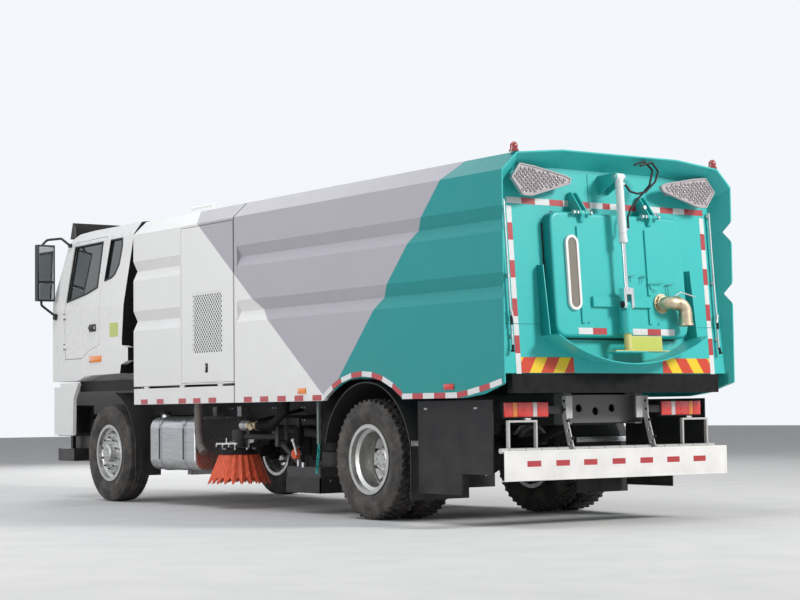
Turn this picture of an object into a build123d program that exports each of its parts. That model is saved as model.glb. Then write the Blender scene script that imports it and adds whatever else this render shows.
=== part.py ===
from build123d import *
from math import atan2, cos, pi, sin, tan
import os

os.makedirs("parts", exist_ok=True)

# A two-axle road sweeper on a cab-over truck chassis, in millimetres.
# The origin is on the ground under the middle of the truck. X points to the truck's left,
# Y to its tail and Z up. Stations are measured along Y from the rear axle, tail positive.

# Running gear
WHEELBASE = 5000.0
REAR_AXLE_Y = 2146.8
FRONT_AXLE_Y = REAR_AXLE_Y - WHEELBASE
TYRE_R = 521.0
TYRE_W = 290.0
BEAD_R = 286.0
RIM_FLANGE_R = 304.0
TREAD_W = 232.0
FRONT_TYRE_X = 1052.0
REAR_OUTER_X = 1062.0
DUAL_PITCH = 326.0
KINGPIN_X = 858.0
KINGPIN_R = 24.0
PIN_CLEARANCE = 0.08
RUNNING_GAP = 6.0
SEAT_GAP = 0.3

# Chassis frame
RAIL_TOP = 1060.0
RAIL_H = 250.0
RAIL_OUT_X = 425.0
RAIL_FLANGE = 80.0
RAIL_T = 10.0
RAIL_FRONT = -6130.0
RAIL_REAR = 1720.0
CROSS_STATIONS = [-5950.0, -3650.0, -2800.0, -2250.0, -1250.0, 700.0, 1220.0]
SPRING_X = 385.0

# Body widths and heights
BODY_X = 1250.0
SKIRT_BOTTOM = 1034.0
FLOOR_Z = 1222.0
FLOOR_T = 40.0
SIDE_TOP = 2817.0
CHAMFER_X = 1094.0
CHAMFER_Z = 2966.0
RIDGE_X = 627.0
RIDGE_Z = 3014.0
WALL = 66.0
SKIRT_T = 36.0
GROOVE_D = 48.0
# Each groove in a side wall: foot, deepest line and head, as heights
GROOVES = [(1801.0, 1906.0, 2013.0), (2330.0, 2434.0, 2537.0)]

# Waste tank
TANK_FRONT = -2170.0
TANK_REAR = 1990.0
TANK_FRONT_WALL = 60.0
TAIL_TOP_Y = 1792.0
TAIL_LOW_Y = 1925.0
TAIL_WALL = 44.0
ARCH_R = 1033.0
ARCH_Z = 202.0
SKIRT_RISE_Y = 1450.0
SKIRT_REAR_Z = 1147.0
BEAM_TOP_GAP = 0.3
TIP_PIN_Y = 1662.0
TIP_PIN_Z = 1100.0
TIP_PIN_R = 18.0
TIP_LUG_R = 38.0
TIP_LUG_T = 36.0

# Tipping rams between the rails: foot and head as station and height
TIP_LOW = (-650.0, 800.0)
TIP_HIGH = (400.0, 1045.0)
TIP_XS = [-150.0, 150.0]
TIP_BARREL_R = 58.0
TIP_ROD_R = 40.0
TIP_EYE_R = 32.0

# Tail door, hung from two brackets at its head
DOOR_X = 722.0
DOOR_LOW = 1505.0
DOOR_HEAD = 2520.0
DOOR_DEPTH = 92.0
DOOR_CORNER = 95.0
DOOR_HINGE_Z = 2510.0
DOOR_HINGE_OFF = 128.0
DOOR_HINGE_XS = [400.0, -340.0]
DOOR_PIN_R = 12.0
DOOR_SEAL_GAP = 6.0
# Door ram: pins by height and distance out from the tail wall
RAM_X = 40.0
RAM_TOP_Z = 2812.0
RAM_TOP_OFF = 200.0
RAM_LOW_Z = 1755.0
RAM_LOW_OFF = 195.0
RAM_R = 34.0
RAM_ROD_R = 18.0
RAM_BARREL_L = 540.0
RAM_POST_R = 45.0
RAM_POST_OFF = 172.0
RAM_FORK_R = 32.0
LUG_HALF = 25.7
HOSE_R = 9.0
RAM_PIN_R = 13.0

# Equipment housing between cab and tank
HOUSE_FRONT = -4275.0
HOUSE_REAR = -2190.0
HOUSE_SPLIT = -3238.0
PANEL_GAP = 6.0
FLAP_HINGE_X = 1242.0
FLAP_HINGE_Z = 1210.0
FLAP_HINGE_YS = [-4000.0, -3230.0, -2460.0]
PANEL_T = 30.0
PANEL_TOP = 2790.0
GRILLE_Y0 = -3012.0
GRILLE_Y1 = -2398.0
GRILLE_Z0 = 1507.0
GRILLE_Z1 = 2131.0

# Cab
CAB_X = 1215.0
CAB_BOTTOM = 1312.0
CAB_WALL = 48.0
CAB_TILT_Y = -6200.0
CAB_TILT_Z = 780.0
# Side outline of the cab from the front foot round over the roof, as station and height
CAB_SIDE = [
    (-6400.0, 1312.0),
    (-6420.0, 1700.0),
    (-6385.0, 2160.0),
    (-6070.0, 2925.0),
    (-5960.0, 2975.0),
    (-5200.0, 3008.0),
    (-4480.0, 3000.0),
    (-4520.0, 2600.0),
    (-4620.0, 1740.0),
    (-4620.0, 1372.0),
    (-5300.0, 1372.0),
    (-5700.0, 1312.0),
]
# Half of the cab's front view, as half width and height
CAB_FRONT = [(1215.0, 1300.0), (1215.0, 2110.0), (1130.0, 2860.0), (1040.0, 2990.0), (700.0, 3040.0)]
# Door outline on the cab's side
CAB_DOOR = [
    (-6015.0, 1560.0),
    (-6030.0, 2150.0),
    (-5930.0, 2868.0),
    (-5140.0, 2880.0),
    (-5165.0, 1990.0),
    (-5165.0, 1700.0),
    (-5420.0, 1640.0),
    (-5600.0, 1560.0),
]
# Door window outline
CAB_WINDOW = [(-5985.0, 2205.0), (-5900.0, 2818.0), (-5215.0, 2826.0), (-5245.0, 2330.0), (-5480.0, 2275.0)]
# Rear quarter window outline
QUARTER_WINDOW = [
    (-5080.0, 2390.0),
    (-5015.0, 2830.0),
    (-4750.0, 2830.0),
    (-4735.0, 2740.0),
    (-4770.0, 2550.0),
    (-4850.0, 2450.0),
    (-4925.0, 2415.0),
]
GLASS_T = 6.0
SEAT_X = 640.0
CAB_HINGE_X = 1225.0
CAB_HINGE_Y = -6040.0
DOOR_HINGE_ZS = [1700.0, 2040.0]
HINGE_PIN_R = 5.0
DOOR_GAP = 6.0

# Front bumper and steps
BUMPER_TOP = 1250.0
CHEEK_TOP = 1292.0
BUMPER_LOW = 709.0
BUMPER_FRONT = -6425.0
BUMPER_REAR = -5862.0
BUMPER_T = 40.0

# Side brushes, suction nozzle and tanks under the frame
BRUSH_X = 905.0
BRUSH_Y = -2690.0
BRUSH_LOW = 236.0
BRUSH_H = 300.0
BRUSH_TOP_R = 200.0
BRUSH_LOW_R = 318.0
BRUSH_LOBES = 17
BRUSH_LOBE = 70.0
ARM_X = 560.0
ARM_Y = -2120.0
ARM_Z = 700.0
ARM_LOW = 610.0
ARM_HIGH = 790.0
ARM_POST_R = 24.0
ARM_HINGE = 165.0
ARM_PIN_R = 14.0
BRUSH_SHAFT_R = 20.0
NOZZLE_STUB_X = 640.0
NOZZLE_STUB_Y = -1350.0
NOZZLE_PIVOT_X = 840.0
NOZZLE_PIVOT_Y = -1990.0
NOZZLE_PIVOT_Z = 640.0
NOZZLE_PIN_R = 14.0
FUEL_FRONT = -4084.0
FUEL_REAR = -3125.0
FUEL_LOW = 360.0
FUEL_TOP = 900.0
FUEL_OUT_X = 1165.0
FUEL_IN_X = 520.0
REAR_BUMPER_X = 1205.0
REAR_BUMPER_LOW = 373.0
REAR_BUMPER_TOP = 611.0
REAR_BUMPER_Y = 1918.0


def sta(y):
    """Station behind the rear axle to Y."""
    return REAR_AXLE_Y + y


def block(x0, x1, y0, y1, z0, z1, mode=Mode.ADD):
    """Box between two corners, Y given as stations."""
    with Locations(((x0 + x1) / 2, sta((y0 + y1) / 2), (z0 + z1) / 2)):
        Box(abs(x1 - x0), abs(y1 - y0), abs(z1 - z0), mode=mode)


def side_slab(points, x0, x1, mode=Mode.ADD):
    """Side-view outline of stations and heights, from x0 to x1."""
    with BuildSketch(Plane.YZ.offset(x0)) as outline:
        with BuildLine():
            Polyline(*[(sta(y), z) for y, z in points], close=True)
        make_face()
    extrude(outline.sketch, amount=x1 - x0, mode=mode)


def cross_slab(points, y0, y1, mode=Mode.ADD):
    """Rear-view outline of X and heights, from station y0 to y1."""
    with BuildSketch(Plane.XZ.offset(-sta(y1))) as outline:
        with BuildLine():
            Polyline(*points, close=True)
        make_face()
    extrude(outline.sketch, amount=y1 - y0, mode=mode)


def rod(start, end, radius, mode=Mode.ADD):
    """Round bar between two points, Y given as stations."""
    p = Vector(start[0], sta(start[1]), start[2])
    q = Vector(end[0], sta(end[1]), end[2])
    with BuildSketch(Plane(origin=p, z_dir=q - p)) as circle:
        Circle(radius)
    extrude(circle.sketch, amount=(q - p).length, mode=mode)


def mirrored(points):
    """Both halves of a symmetric outline whose right half is given from foot to head."""
    return list(points) + [(-x, z) for x, z in reversed(points)]


# Wheels
def tube(points, radius, bend):
    """Round tube along a path of straight runs with rounded bends."""
    with BuildLine() as route:
        FilletPolyline(*[(x, sta(y), z) for x, y, z in points], radius=bend)
    with BuildSketch(Plane(origin=route.line @ 0, z_dir=route.line % 0)) as section:
        Circle(radius)
    sweep(section.sketch, path=route.line)


def wheel_plane(axle_y, x):
    """Plane whose local X runs along the axle and local Y up from its centre."""
    return Plane(origin=(x, axle_y, TYRE_R), x_dir=(1, 0, 0), z_dir=(0, -1, 0))


def tyre_at(axle_y, x):
    """One tyre's revolved section."""
    half = TYRE_W / 2
    tread = TREAD_W / 2
    with BuildSketch(wheel_plane(axle_y, x)) as section:
        with BuildLine():
            Polyline(
                (-tread, TYRE_R - 6),
                (-tread * 0.5, TYRE_R),
                (tread * 0.5, TYRE_R),
                (tread, TYRE_R - 6),
            )
            ThreePointArc((tread, TYRE_R - 6), (half, (TYRE_R + BEAD_R) / 2 + 12), (tread - 8, BEAD_R + 14))
            Polyline(
                (tread - 8, BEAD_R + 14),
                (tread - 8, BEAD_R),
                (tread - 40, BEAD_R),
                (tread - 44, BEAD_R + 60),
                (44 - tread, BEAD_R + 60),
                (40 - tread, BEAD_R),
                (8 - tread, BEAD_R),
                (8 - tread, BEAD_R + 14),
            )
            ThreePointArc((8 - tread, BEAD_R + 14), (-half, (TYRE_R + BEAD_R) / 2 + 12), (-tread, TYRE_R - 6))
        make_face()
    revolve(section.sketch, axis=Axis((x, axle_y, TYRE_R), (1, 0, 0)))


def rim_at(axle_y, x, disc_x, out):
    """Rim barrel round x with its disc at disc_x; out is the side the dish opens to."""
    bead = BEAD_R - SEAT_GAP
    seat = TREAD_W / 2 - 6
    with BuildSketch(wheel_plane(axle_y, x)) as section:
        with BuildLine():
            Polyline(
                (-seat, bead),
                (-seat - 2, RIM_FLANGE_R),
                (-seat - 16, RIM_FLANGE_R),
                (-seat - 16, bead - 16),
                (-seat + 30, bead - 16),
                (-60, bead - 44),
                (60, bead - 44),
                (seat - 30, bead - 16),
                (seat + 16, bead - 16),
                (seat + 16, RIM_FLANGE_R),
                (seat + 2, RIM_FLANGE_R),
                (seat, bead),
                (seat - 38, bead),
                (66, bead - 30),
                (-66, bead - 30),
                (-seat + 38, bead),
                close=True,
            )
        make_face()
    revolve(section.sketch, axis=Axis((x, axle_y, TYRE_R), (1, 0, 0)))
    wall = bead - 36
    with BuildSketch(wheel_plane(axle_y, 0)) as dish:
        with BuildLine():
            Polyline(
                (disc_x, 90),
                (disc_x, 205),
                (disc_x - out * 42, bead - 40),
                (disc_x - out * 42, bead - 8),
                (disc_x - out * 66, bead - 8),
                (disc_x - out * 66, wall - 10),
                (disc_x - out * 14, 198),
                (disc_x - out * 14, 90),
                close=True,
            )
        make_face()
    revolve(dish.sketch, axis=Axis((0, axle_y, TYRE_R), (1, 0, 0)))
    with BuildSketch(Plane(origin=(disc_x - 100, axle_y, TYRE_R), z_dir=(1, 0, 0))) as holes:
        with PolarLocations(226, 10):
            Circle(20)
    extrude(holes.sketch, amount=200, mode=Mode.SUBTRACT)


sides = {"left": 1, "right": -1}

front_tyres = {}
front_wheels = {}
rear_tyres = {}
rear_wheels = {}
knuckles = {}
for side, s in sides.items():
    with BuildPart() as tyre:
        tyre_at(FRONT_AXLE_Y, s * FRONT_TYRE_X)
    front_tyres[side] = tyre
    with BuildPart() as wheel:
        rim_at(FRONT_AXLE_Y, s * FRONT_TYRE_X, s * (FRONT_TYRE_X + 96), s)
        with BuildSketch(wheel_plane(FRONT_AXLE_Y, 0)) as hub:
            with BuildLine():
                Polyline(
                    (s * (FRONT_TYRE_X - 60), 60 + PIN_CLEARANCE),
                    (s * (FRONT_TYRE_X - 60), 130),
                    (s * (FRONT_TYRE_X + 82), 130),
                    (s * (FRONT_TYRE_X + 96), 100),
                    (s * (FRONT_TYRE_X + 150), 92),
                    (s * (FRONT_TYRE_X + 162), 70),
                    (s * (FRONT_TYRE_X + 162), 0),
                    (s * (FRONT_TYRE_X + 120), 0),
                    (s * (FRONT_TYRE_X + 120), 60 + PIN_CLEARANCE),
                    close=True,
                )
            make_face()
        revolve(hub.sketch, axis=Axis((0, FRONT_AXLE_Y, TYRE_R), (1, 0, 0)))
    front_wheels[side] = wheel
    with BuildPart() as knuckle:
        x0 = s * KINGPIN_X
        with BuildSketch(wheel_plane(FRONT_AXLE_Y, 0)) as spindle:
            with BuildLine():
                Polyline(
                    (s * (KINGPIN_X + 50), 0),
                    (s * (KINGPIN_X + 50), 85),
                    (s * (FRONT_TYRE_X - 80), 85),
                    (s * (FRONT_TYRE_X - 80), 60),
                    (s * (FRONT_TYRE_X + 110), 60),
                    (s * (FRONT_TYRE_X + 110), 0),
                    close=True,
                )
            make_face()
        revolve(spindle.sketch, axis=Axis((0, FRONT_AXLE_Y, TYRE_R), (1, 0, 0)))
        for z0, z1 in [(TYRE_R - 112, TYRE_R - 66), (TYRE_R + 66, TYRE_R + 112)]:
            with BuildSketch(Plane.XY.offset(z0)) as ear:
                with Locations((x0, FRONT_AXLE_Y)):
                    Circle(46)
                with Locations((s * (KINGPIN_X + 45), FRONT_AXLE_Y)):
                    Rectangle(90, 92)
            extrude(ear.sketch, amount=z1 - z0)
        block(s * (KINGPIN_X + 50), s * (KINGPIN_X + 90), -WHEELBASE - 46, -WHEELBASE + 46, TYRE_R - 112, TYRE_R + 112)
        with BuildSketch(Plane.XY.offset(TYRE_R - 112)) as bore:
            with Locations((x0, FRONT_AXLE_Y)):
                Circle(KINGPIN_R + PIN_CLEARANCE)
        extrude(bore.sketch, amount=224, mode=Mode.SUBTRACT)
    knuckles[side] = knuckle
    with BuildPart() as tyres:
        tyre_at(REAR_AXLE_Y, s * REAR_OUTER_X)
        tyre_at(REAR_AXLE_Y, s * (REAR_OUTER_X - DUAL_PITCH))
    rear_tyres[side] = tyres
    with BuildPart() as wheel:
        face_x = REAR_OUTER_X - DUAL_PITCH / 2
        rim_at(REAR_AXLE_Y, s * REAR_OUTER_X, s * face_x, s * -1)
        rim_at(REAR_AXLE_Y, s * (REAR_OUTER_X - DUAL_PITCH), s * face_x, s)
        with BuildSketch(wheel_plane(REAR_AXLE_Y, 0)) as hub:
            with BuildLine():
                Polyline(
                    (s * (face_x - 60), 66 + PIN_CLEARANCE),
                    (s * (face_x - 60), 150),
                    (s * (face_x + 20), 150),
                    (s * (face_x + 30), 110),
                    (s * (face_x + 150), 100),
                    (s * (face_x + 165), 80),
                    (s * (face_x + 165), 0),
                    (s * (face_x + 140), 0),
                    (s * (face_x + 140), 66 + PIN_CLEARANCE),
                    close=True,
                )
            make_face()
        revolve(hub.sketch, axis=Axis((0, REAR_AXLE_Y, TYRE_R), (1, 0, 0)))
    rear_wheels[side] = wheel

# Chassis frame: two channel rails, crossmembers, a drilled tail plate and tipping pins
with BuildPart() as frame:
    for s in sides.values():
        out = s * RAIL_OUT_X
        inner = s * (RAIL_OUT_X - RAIL_FLANGE)
        block(inner, out, RAIL_FRONT, RAIL_REAR, RAIL_TOP - RAIL_H, RAIL_TOP)
        block(inner - s, out - s * RAIL_T, RAIL_FRONT, RAIL_REAR, RAIL_TOP - RAIL_H + RAIL_T, RAIL_TOP - RAIL_T,
              mode=Mode.SUBTRACT)
    for y in CROSS_STATIONS:
        block(-RAIL_OUT_X + RAIL_T, RAIL_OUT_X - RAIL_T, y - 40, y + 40, RAIL_TOP - RAIL_H + 30, RAIL_TOP - 60)
    block(-RAIL_OUT_X + RAIL_T, RAIL_OUT_X - RAIL_T, 1600, 1616, RAIL_TOP - RAIL_H + RAIL_T, RAIL_TOP - RAIL_T)
    with BuildSketch(Plane.XZ.offset(-sta(1640))) as tail_holes:
        with Locations((-180, 940), (0, 915), (180, 940)):
            Circle(34)
    extrude(tail_holes.sketch, amount=60, mode=Mode.SUBTRACT)
    for s in sides.values():
        block(s * (RAIL_OUT_X - RAIL_FLANGE), s * RAIL_OUT_X, TIP_PIN_Y - 60, TIP_PIN_Y + 50, RAIL_TOP, TIP_PIN_Z + 34)
        rod((s * (RAIL_OUT_X - 20), TIP_PIN_Y, TIP_PIN_Z), (s * (RAIL_OUT_X + 62), TIP_PIN_Y, TIP_PIN_Z), TIP_PIN_R)
        block(s * (RAIL_OUT_X - 70), s * (RAIL_OUT_X - 2), CAB_TILT_Y - 44, RAIL_FRONT + 60, CAB_TILT_Z - 44, 930)
        rod((s * (RAIL_OUT_X - 20), CAB_TILT_Y, CAB_TILT_Z), (s * (RAIL_OUT_X + 48), CAB_TILT_Y, CAB_TILT_Z), 20)
        block(s * (RAIL_OUT_X - RAIL_FLANGE), s * RAIL_OUT_X, HOUSE_FRONT + 20, HOUSE_REAR - 20, RAIL_TOP - 1, FLOOR_Z - SEAT_GAP)
        block(s * (RAIL_OUT_X - 1), s * (ARM_X + 30), ARM_Y - 60, ARM_Y + 60, 870, 900)
        rod((s * ARM_X, ARM_Y, ARM_LOW - 20), (s * ARM_X, ARM_Y, 872), ARM_POST_R)
        rod((s * ARM_X, ARM_Y, ARM_LOW - 24), (s * ARM_X, ARM_Y, ARM_LOW - SEAT_GAP), ARM_POST_R + 16)
        block(s * (RAIL_OUT_X - 1), s * (NOZZLE_PIVOT_X + 58), NOZZLE_PIVOT_Y - 30, NOZZLE_PIVOT_Y + 30, 880, 910)
        for dx in (-58, 46):
            block(s * (NOZZLE_PIVOT_X + dx), s * (NOZZLE_PIVOT_X + dx + 12), NOZZLE_PIVOT_Y - 30, NOZZLE_PIVOT_Y + 30,
                  NOZZLE_PIVOT_Z - 30, 885)
        rod((s * (NOZZLE_PIVOT_X - 50), NOZZLE_PIVOT_Y, NOZZLE_PIVOT_Z), (s * (NOZZLE_PIVOT_X + 50), NOZZLE_PIVOT_Y, NOZZLE_PIVOT_Z),
            NOZZLE_PIN_R)
        block(s * 290, s * 345, TIP_LOW[0] - 50, TIP_LOW[0] + 50, TIP_LOW[1] - 55, 920)
        block(s * 340, s * (RAIL_OUT_X - 2), TIP_LOW[0] - 50, TIP_LOW[0] + 50, 830, 920)
        rod((s * 280, *TIP_LOW), (s * 364, *TIP_LOW), 40 + PIN_CLEARANCE, mode=Mode.SUBTRACT)
    for y in (-4150, -3250, -2300):
        block(-1200, 1200, y - 30, y + 30, 1150, FLOOR_Z - SEAT_GAP)
    for s in sides.values():
        block(s * (RAIL_OUT_X - 75), s * RAIL_OUT_X, -4800, -4700, RAIL_TOP - 1, 1372 - SEAT_GAP)


# Engine and gearbox under the cab, as one plain block each at their real size
with BuildPart() as engine:
    block(-330, 330, -5560, -4560, 640, 1215)
    with Locations((0, sta(-4180), 790)):
        with BuildSketch(Plane.XZ.offset(-sta(-4560 + 780))) as bell:
            with Locations((0, 800)):
                Circle(150)
        extrude(bell.sketch, amount=780)
    block(-RAIL_OUT_X + RAIL_T + SEAT_GAP, RAIL_OUT_X - RAIL_T - SEAT_GAP, -5420, -5330, 860, 960)
    rod((0, -3780, 800), (0, -3740, 797), 70)
    rod((0, -3760, 798), (0, -2290, 690), 45)
    rod((0, -2330, 693), (0, -2250, 687), 70)
    rod((0, -2270, 688), (0, -430, 548), 45)
    rod((0, -450, 549.5), (0, -401, 546), 66)

# Front axle: dropped beam, kingpins and leaf springs
with BuildPart() as front_axle:
    with BuildSketch(Plane.XZ.offset(-(FRONT_AXLE_Y + 42))) as beam:
        with BuildLine():
            Polyline(
                (-KINGPIN_X + 30, TYRE_R + 58),
                (-KINGPIN_X + 60, TYRE_R + 58),
                (-640, TYRE_R - 20),
                (640, TYRE_R - 20),
                (KINGPIN_X - 60, TYRE_R + 58),
                (KINGPIN_X - 30, TYRE_R + 58),
                (KINGPIN_X - 30, TYRE_R - 58),
                (KINGPIN_X - 60, TYRE_R - 58),
                (620, TYRE_R - 130),
                (-620, TYRE_R - 130),
                (-KINGPIN_X + 60, TYRE_R - 58),
                (-KINGPIN_X + 30, TYRE_R - 58),
                close=True,
            )
        make_face()
    extrude(beam.sketch, amount=84)
    for s in sides.values():
        with BuildSketch(Plane.XY.offset(TYRE_R - 58)) as boss:
            with Locations((s * KINGPIN_X, FRONT_AXLE_Y)):
                Circle(44)
        extrude(boss.sketch, amount=116)
        with BuildSketch(Plane.XY.offset(TYRE_R - 118)) as pin:
            with Locations((s * KINGPIN_X, FRONT_AXLE_Y)):
                Circle(KINGPIN_R)
        extrude(pin.sketch, amount=236)


def leaf_spring(axle_station, length, seat_z, x):
    """Arched leaf pack over an axle, clamped at its seat and hung from the rail."""
    rise = 150.0
    thick = 70.0
    half = length / 2
    eye_z = seat_z + rise
    with BuildSketch(Plane.YZ.offset(x - 38)) as pack:
        with BuildLine():
            ThreePointArc(
                (sta(axle_station - half), eye_z),
                (sta(axle_station), seat_z),
                (sta(axle_station + half), eye_z),
            )
            Line((sta(axle_station + half), eye_z), (sta(axle_station + half), eye_z + 18))
            ThreePointArc(
                (sta(axle_station + half), eye_z + 18),
                (sta(axle_station), seat_z + thick),
                (sta(axle_station - half), eye_z + 18),
            )
            Line((sta(axle_station - half), eye_z + 18), (sta(axle_station - half), eye_z))
        make_face()
    extrude(pack.sketch, amount=76)
    for end in (-half + 30, half - 30):
        top = RAIL_TOP - RAIL_H
        block(x - 30, x + 30, axle_station + end - 36, axle_station + end + 36, eye_z - 10, top)
    block(x - 46, x + 46, axle_station - 60, axle_station + 60, seat_z, seat_z + thick + 22)


# Rear axle: housing with its final drive, and leaf springs
with BuildPart() as rear_axle:
    axle_end = REAR_OUTER_X - DUAL_PITCH / 2
    with BuildSketch(wheel_plane(REAR_AXLE_Y, 0)) as housing:
        with BuildLine():
            Polyline(
                (-axle_end - 130, 0),
                (-axle_end - 130, 66),
                (-axle_end + 66, 66),
                (-axle_end + 66, 88),
                (-300, 88),
                (-150, 165),
                (150, 165),
                (300, 88),
                (axle_end - 66, 88),
                (axle_end - 66, 66),
                (axle_end + 130, 66),
                (axle_end + 130, 0),
                close=True,
            )
        make_face()
    revolve(housing.sketch, axis=Axis((0, REAR_AXLE_Y, TYRE_R), (1, 0, 0)))
    rod((0, 0, TYRE_R), (0, -330, TYRE_R + 20), 120)
    rod((0, -300, TYRE_R + 18), (0, -400, TYRE_R + 24), 60)

with BuildPart() as springs:
    for s in sides.values():
        leaf_spring(-WHEELBASE, 1500, TYRE_R - 20 + SEAT_GAP, s * SPRING_X)
        leaf_spring(0, 1560, TYRE_R + 88 + SEAT_GAP, s * SPRING_X)

# Fuel tank with straps, on two brackets from the left rail
with BuildPart() as fuel_tank:
    with BuildSketch(Plane.XZ.offset(-sta(FUEL_REAR))) as section:
        with Locations(((FUEL_OUT_X + FUEL_IN_X) / 2, (FUEL_TOP + FUEL_LOW) / 2)):
            RectangleRounded(FUEL_OUT_X - FUEL_IN_X, FUEL_TOP - FUEL_LOW, 110)
    extrude(section.sketch, amount=FUEL_REAR - FUEL_FRONT)
    fillet(fuel_tank.faces().sort_by(Axis.Y)[0].edges(), 24)
    fillet(fuel_tank.faces().sort_by(Axis.Y)[-1].edges(), 24)
    rod((1040, -3960, FUEL_TOP - 2), (1040, -3960, FUEL_TOP + 26), 45)
    for y in (-3860, -3350):
        with BuildSketch(Plane.XZ.offset(-sta(y + 30))) as strap:
            with Locations(((FUEL_OUT_X + FUEL_IN_X) / 2, (FUEL_TOP + FUEL_LOW) / 2)):
                RectangleRounded(FUEL_OUT_X - FUEL_IN_X + 13, FUEL_TOP - FUEL_LOW + 13, 116)
                RectangleRounded(FUEL_OUT_X - FUEL_IN_X - 8, FUEL_TOP - FUEL_LOW - 8, 106, mode=Mode.SUBTRACT)
        extrude(strap.sketch, amount=60)
        block(RAIL_OUT_X + SEAT_GAP, FUEL_IN_X - 4, y - 40, y + 40, 440, 1000)
        block(FUEL_IN_X - 30, FUEL_IN_X + 300, y - 40, y + 40, FUEL_LOW - 60, FUEL_LOW + 1)
        block(RAIL_OUT_X + SEAT_GAP, FUEL_IN_X - 4, y - 40, y + 40, FUEL_LOW - 60, 460)

# Right side of the chassis: urea tank, battery box and air reservoirs
with BuildPart() as side_boxes:
    block(-1160, -RAIL_OUT_X - SEAT_GAP, -4080, -3480, 470, 900)
    block(-1150, -RAIL_OUT_X - SEAT_GAP, -3450, -3150, 420, 880)
    fillet(side_boxes.edges().filter_by(Axis.Y), 24)

with BuildPart() as air_reservoirs:
    for y in (1000, 1440):
        rod((-300, y, 900), (300, y, 900), 100)
        for s in sides.values():
            block(s * 290, s * (RAIL_OUT_X - RAIL_T - SEAT_GAP), y - 30, y + 30, 880, 900)

# Air intake column behind the cab
with BuildPart() as air_intake:
    block(700, 1010, -4395, -4315, 1330, 2740)
    fillet(air_intake.edges().filter_by(Axis.Z), 30)
    block(RAIL_OUT_X - 60, 860, -4390, -4320, RAIL_TOP + SEAT_GAP, 1340)

# Mudguards and flaps
with BuildPart() as front_mudguards:
    for s in sides.values():
        with BuildSketch(Plane.YZ.offset(s * 900)) as arc:
            with Locations((FRONT_AXLE_Y, TYRE_R)):
                Circle(672)
                Circle(658, mode=Mode.SUBTRACT)
            with BuildLine():
                Polyline(
                    (FRONT_AXLE_Y, TYRE_R),
                    (FRONT_AXLE_Y + 900, TYRE_R + 90),
                    (FRONT_AXLE_Y + 900, TYRE_R + 1600),
                    (FRONT_AXLE_Y + 260, TYRE_R + 900),
                    close=True,
                )
            make_face(mode=Mode.INTERSECT)
        extrude(arc.sketch, amount=s * 300)
        block(s * (RAIL_OUT_X + SEAT_GAP), s * 902, -4460, -4430, 880, 920)
        block(s * 900, s * 1200, -4352, -4340, 290, TYRE_R + 118)

with BuildPart() as rear_mudguards:
    for s in sides.values():
        with BuildSketch(Plane.YZ.offset(s * 560)) as arc:
            with Locations((REAR_AXLE_Y, TYRE_R)):
                Circle(672)
                Circle(658, mode=Mode.SUBTRACT)
            with Locations((REAR_AXLE_Y, TYRE_R + 140 + 500)):
                Rectangle(1600, 1000, mode=Mode.INTERSECT)
        extrude(arc.sketch, amount=s * 650)
        for y in (-530, 530):
            block(s * (RAIL_OUT_X + SEAT_GAP), s * 562, y - 18, y + 18, 905, 945)
        block(s * 600, s * 1205, 646, 658, 190, 690)

# Black side panels behind the rear wheels
with BuildPart() as side_panels:
    for s in sides.values():
        side_slab(
            [(705, 1016), (1715, 1016), (1715, 420), (1300, 420), (1300, 250), (705, 250)],
            s * 1150,
            s * 1162,
        )
        for y in (820, 1500):
            block(s * (RAIL_OUT_X + SEAT_GAP), s * 1150, y - 20, y + 20, 930, 970)

# Rear under-run bumper on its hangers, lamp brackets and lamps
with BuildPart() as rear_bumper:
    for s in sides.values():
        side_slab(
            [
                (1722, 1040),
                (1770, 1040),
                (1776, 880),
                (1858, REAR_BUMPER_TOP + 20),
                (REAR_BUMPER_Y - 5, REAR_BUMPER_TOP - 8),
                (REAR_BUMPER_Y - 5, REAR_BUMPER_LOW + 55),
                (1860, REAR_BUMPER_LOW + 55),
                (1790, 620),
                (1722, 860),
            ],
            s * 440,
            s * 448,
        )
        side_slab([(1720.3, 1040), (1735, 1040), (1735, 860), (1720.3, 860)], s * 350, s * 448)
        for z, y in ((760, 1790), (660, 1815)):
            rod((s * 430, y, z), (s * 460, y, z), 14, mode=Mode.SUBTRACT)
    rod((-1160, 1806, 610), (1160, 1806, 610), 21)
    for s in sides.values():
        for x0, x1 in ((790, 806), (1070, 1086)):
            block(s * x0, s * x1, 1791, 1821, 626, 850)
        block(s * 790, s * 1086, 1791, 1821, 834, 850)
    for z in (REAR_BUMPER_LOW, REAR_BUMPER_TOP - 6):
        block(-REAR_BUMPER_X, REAR_BUMPER_X, 1858, REAR_BUMPER_Y, z, z + 6)
    block(-REAR_BUMPER_X, REAR_BUMPER_X, REAR_BUMPER_Y - 6, REAR_BUMPER_Y, REAR_BUMPER_LOW, REAR_BUMPER_TOP)

with BuildPart() as lamps:
    for s in sides.values():
        block(s * 612, s * 1076, 1690, 1745, 866, 1000)
    fillet(lamps.edges().filter_by(Axis.X), 12)
    for s in sides.values():
        block(s * (448 + SEAT_GAP), s * 620, 1722, 1738, 900, 960)
        block(s * 763, s * 1107, BUMPER_FRONT - 2, BUMPER_FRONT + 30 - SEAT_GAP, 883, 1077)


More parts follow.
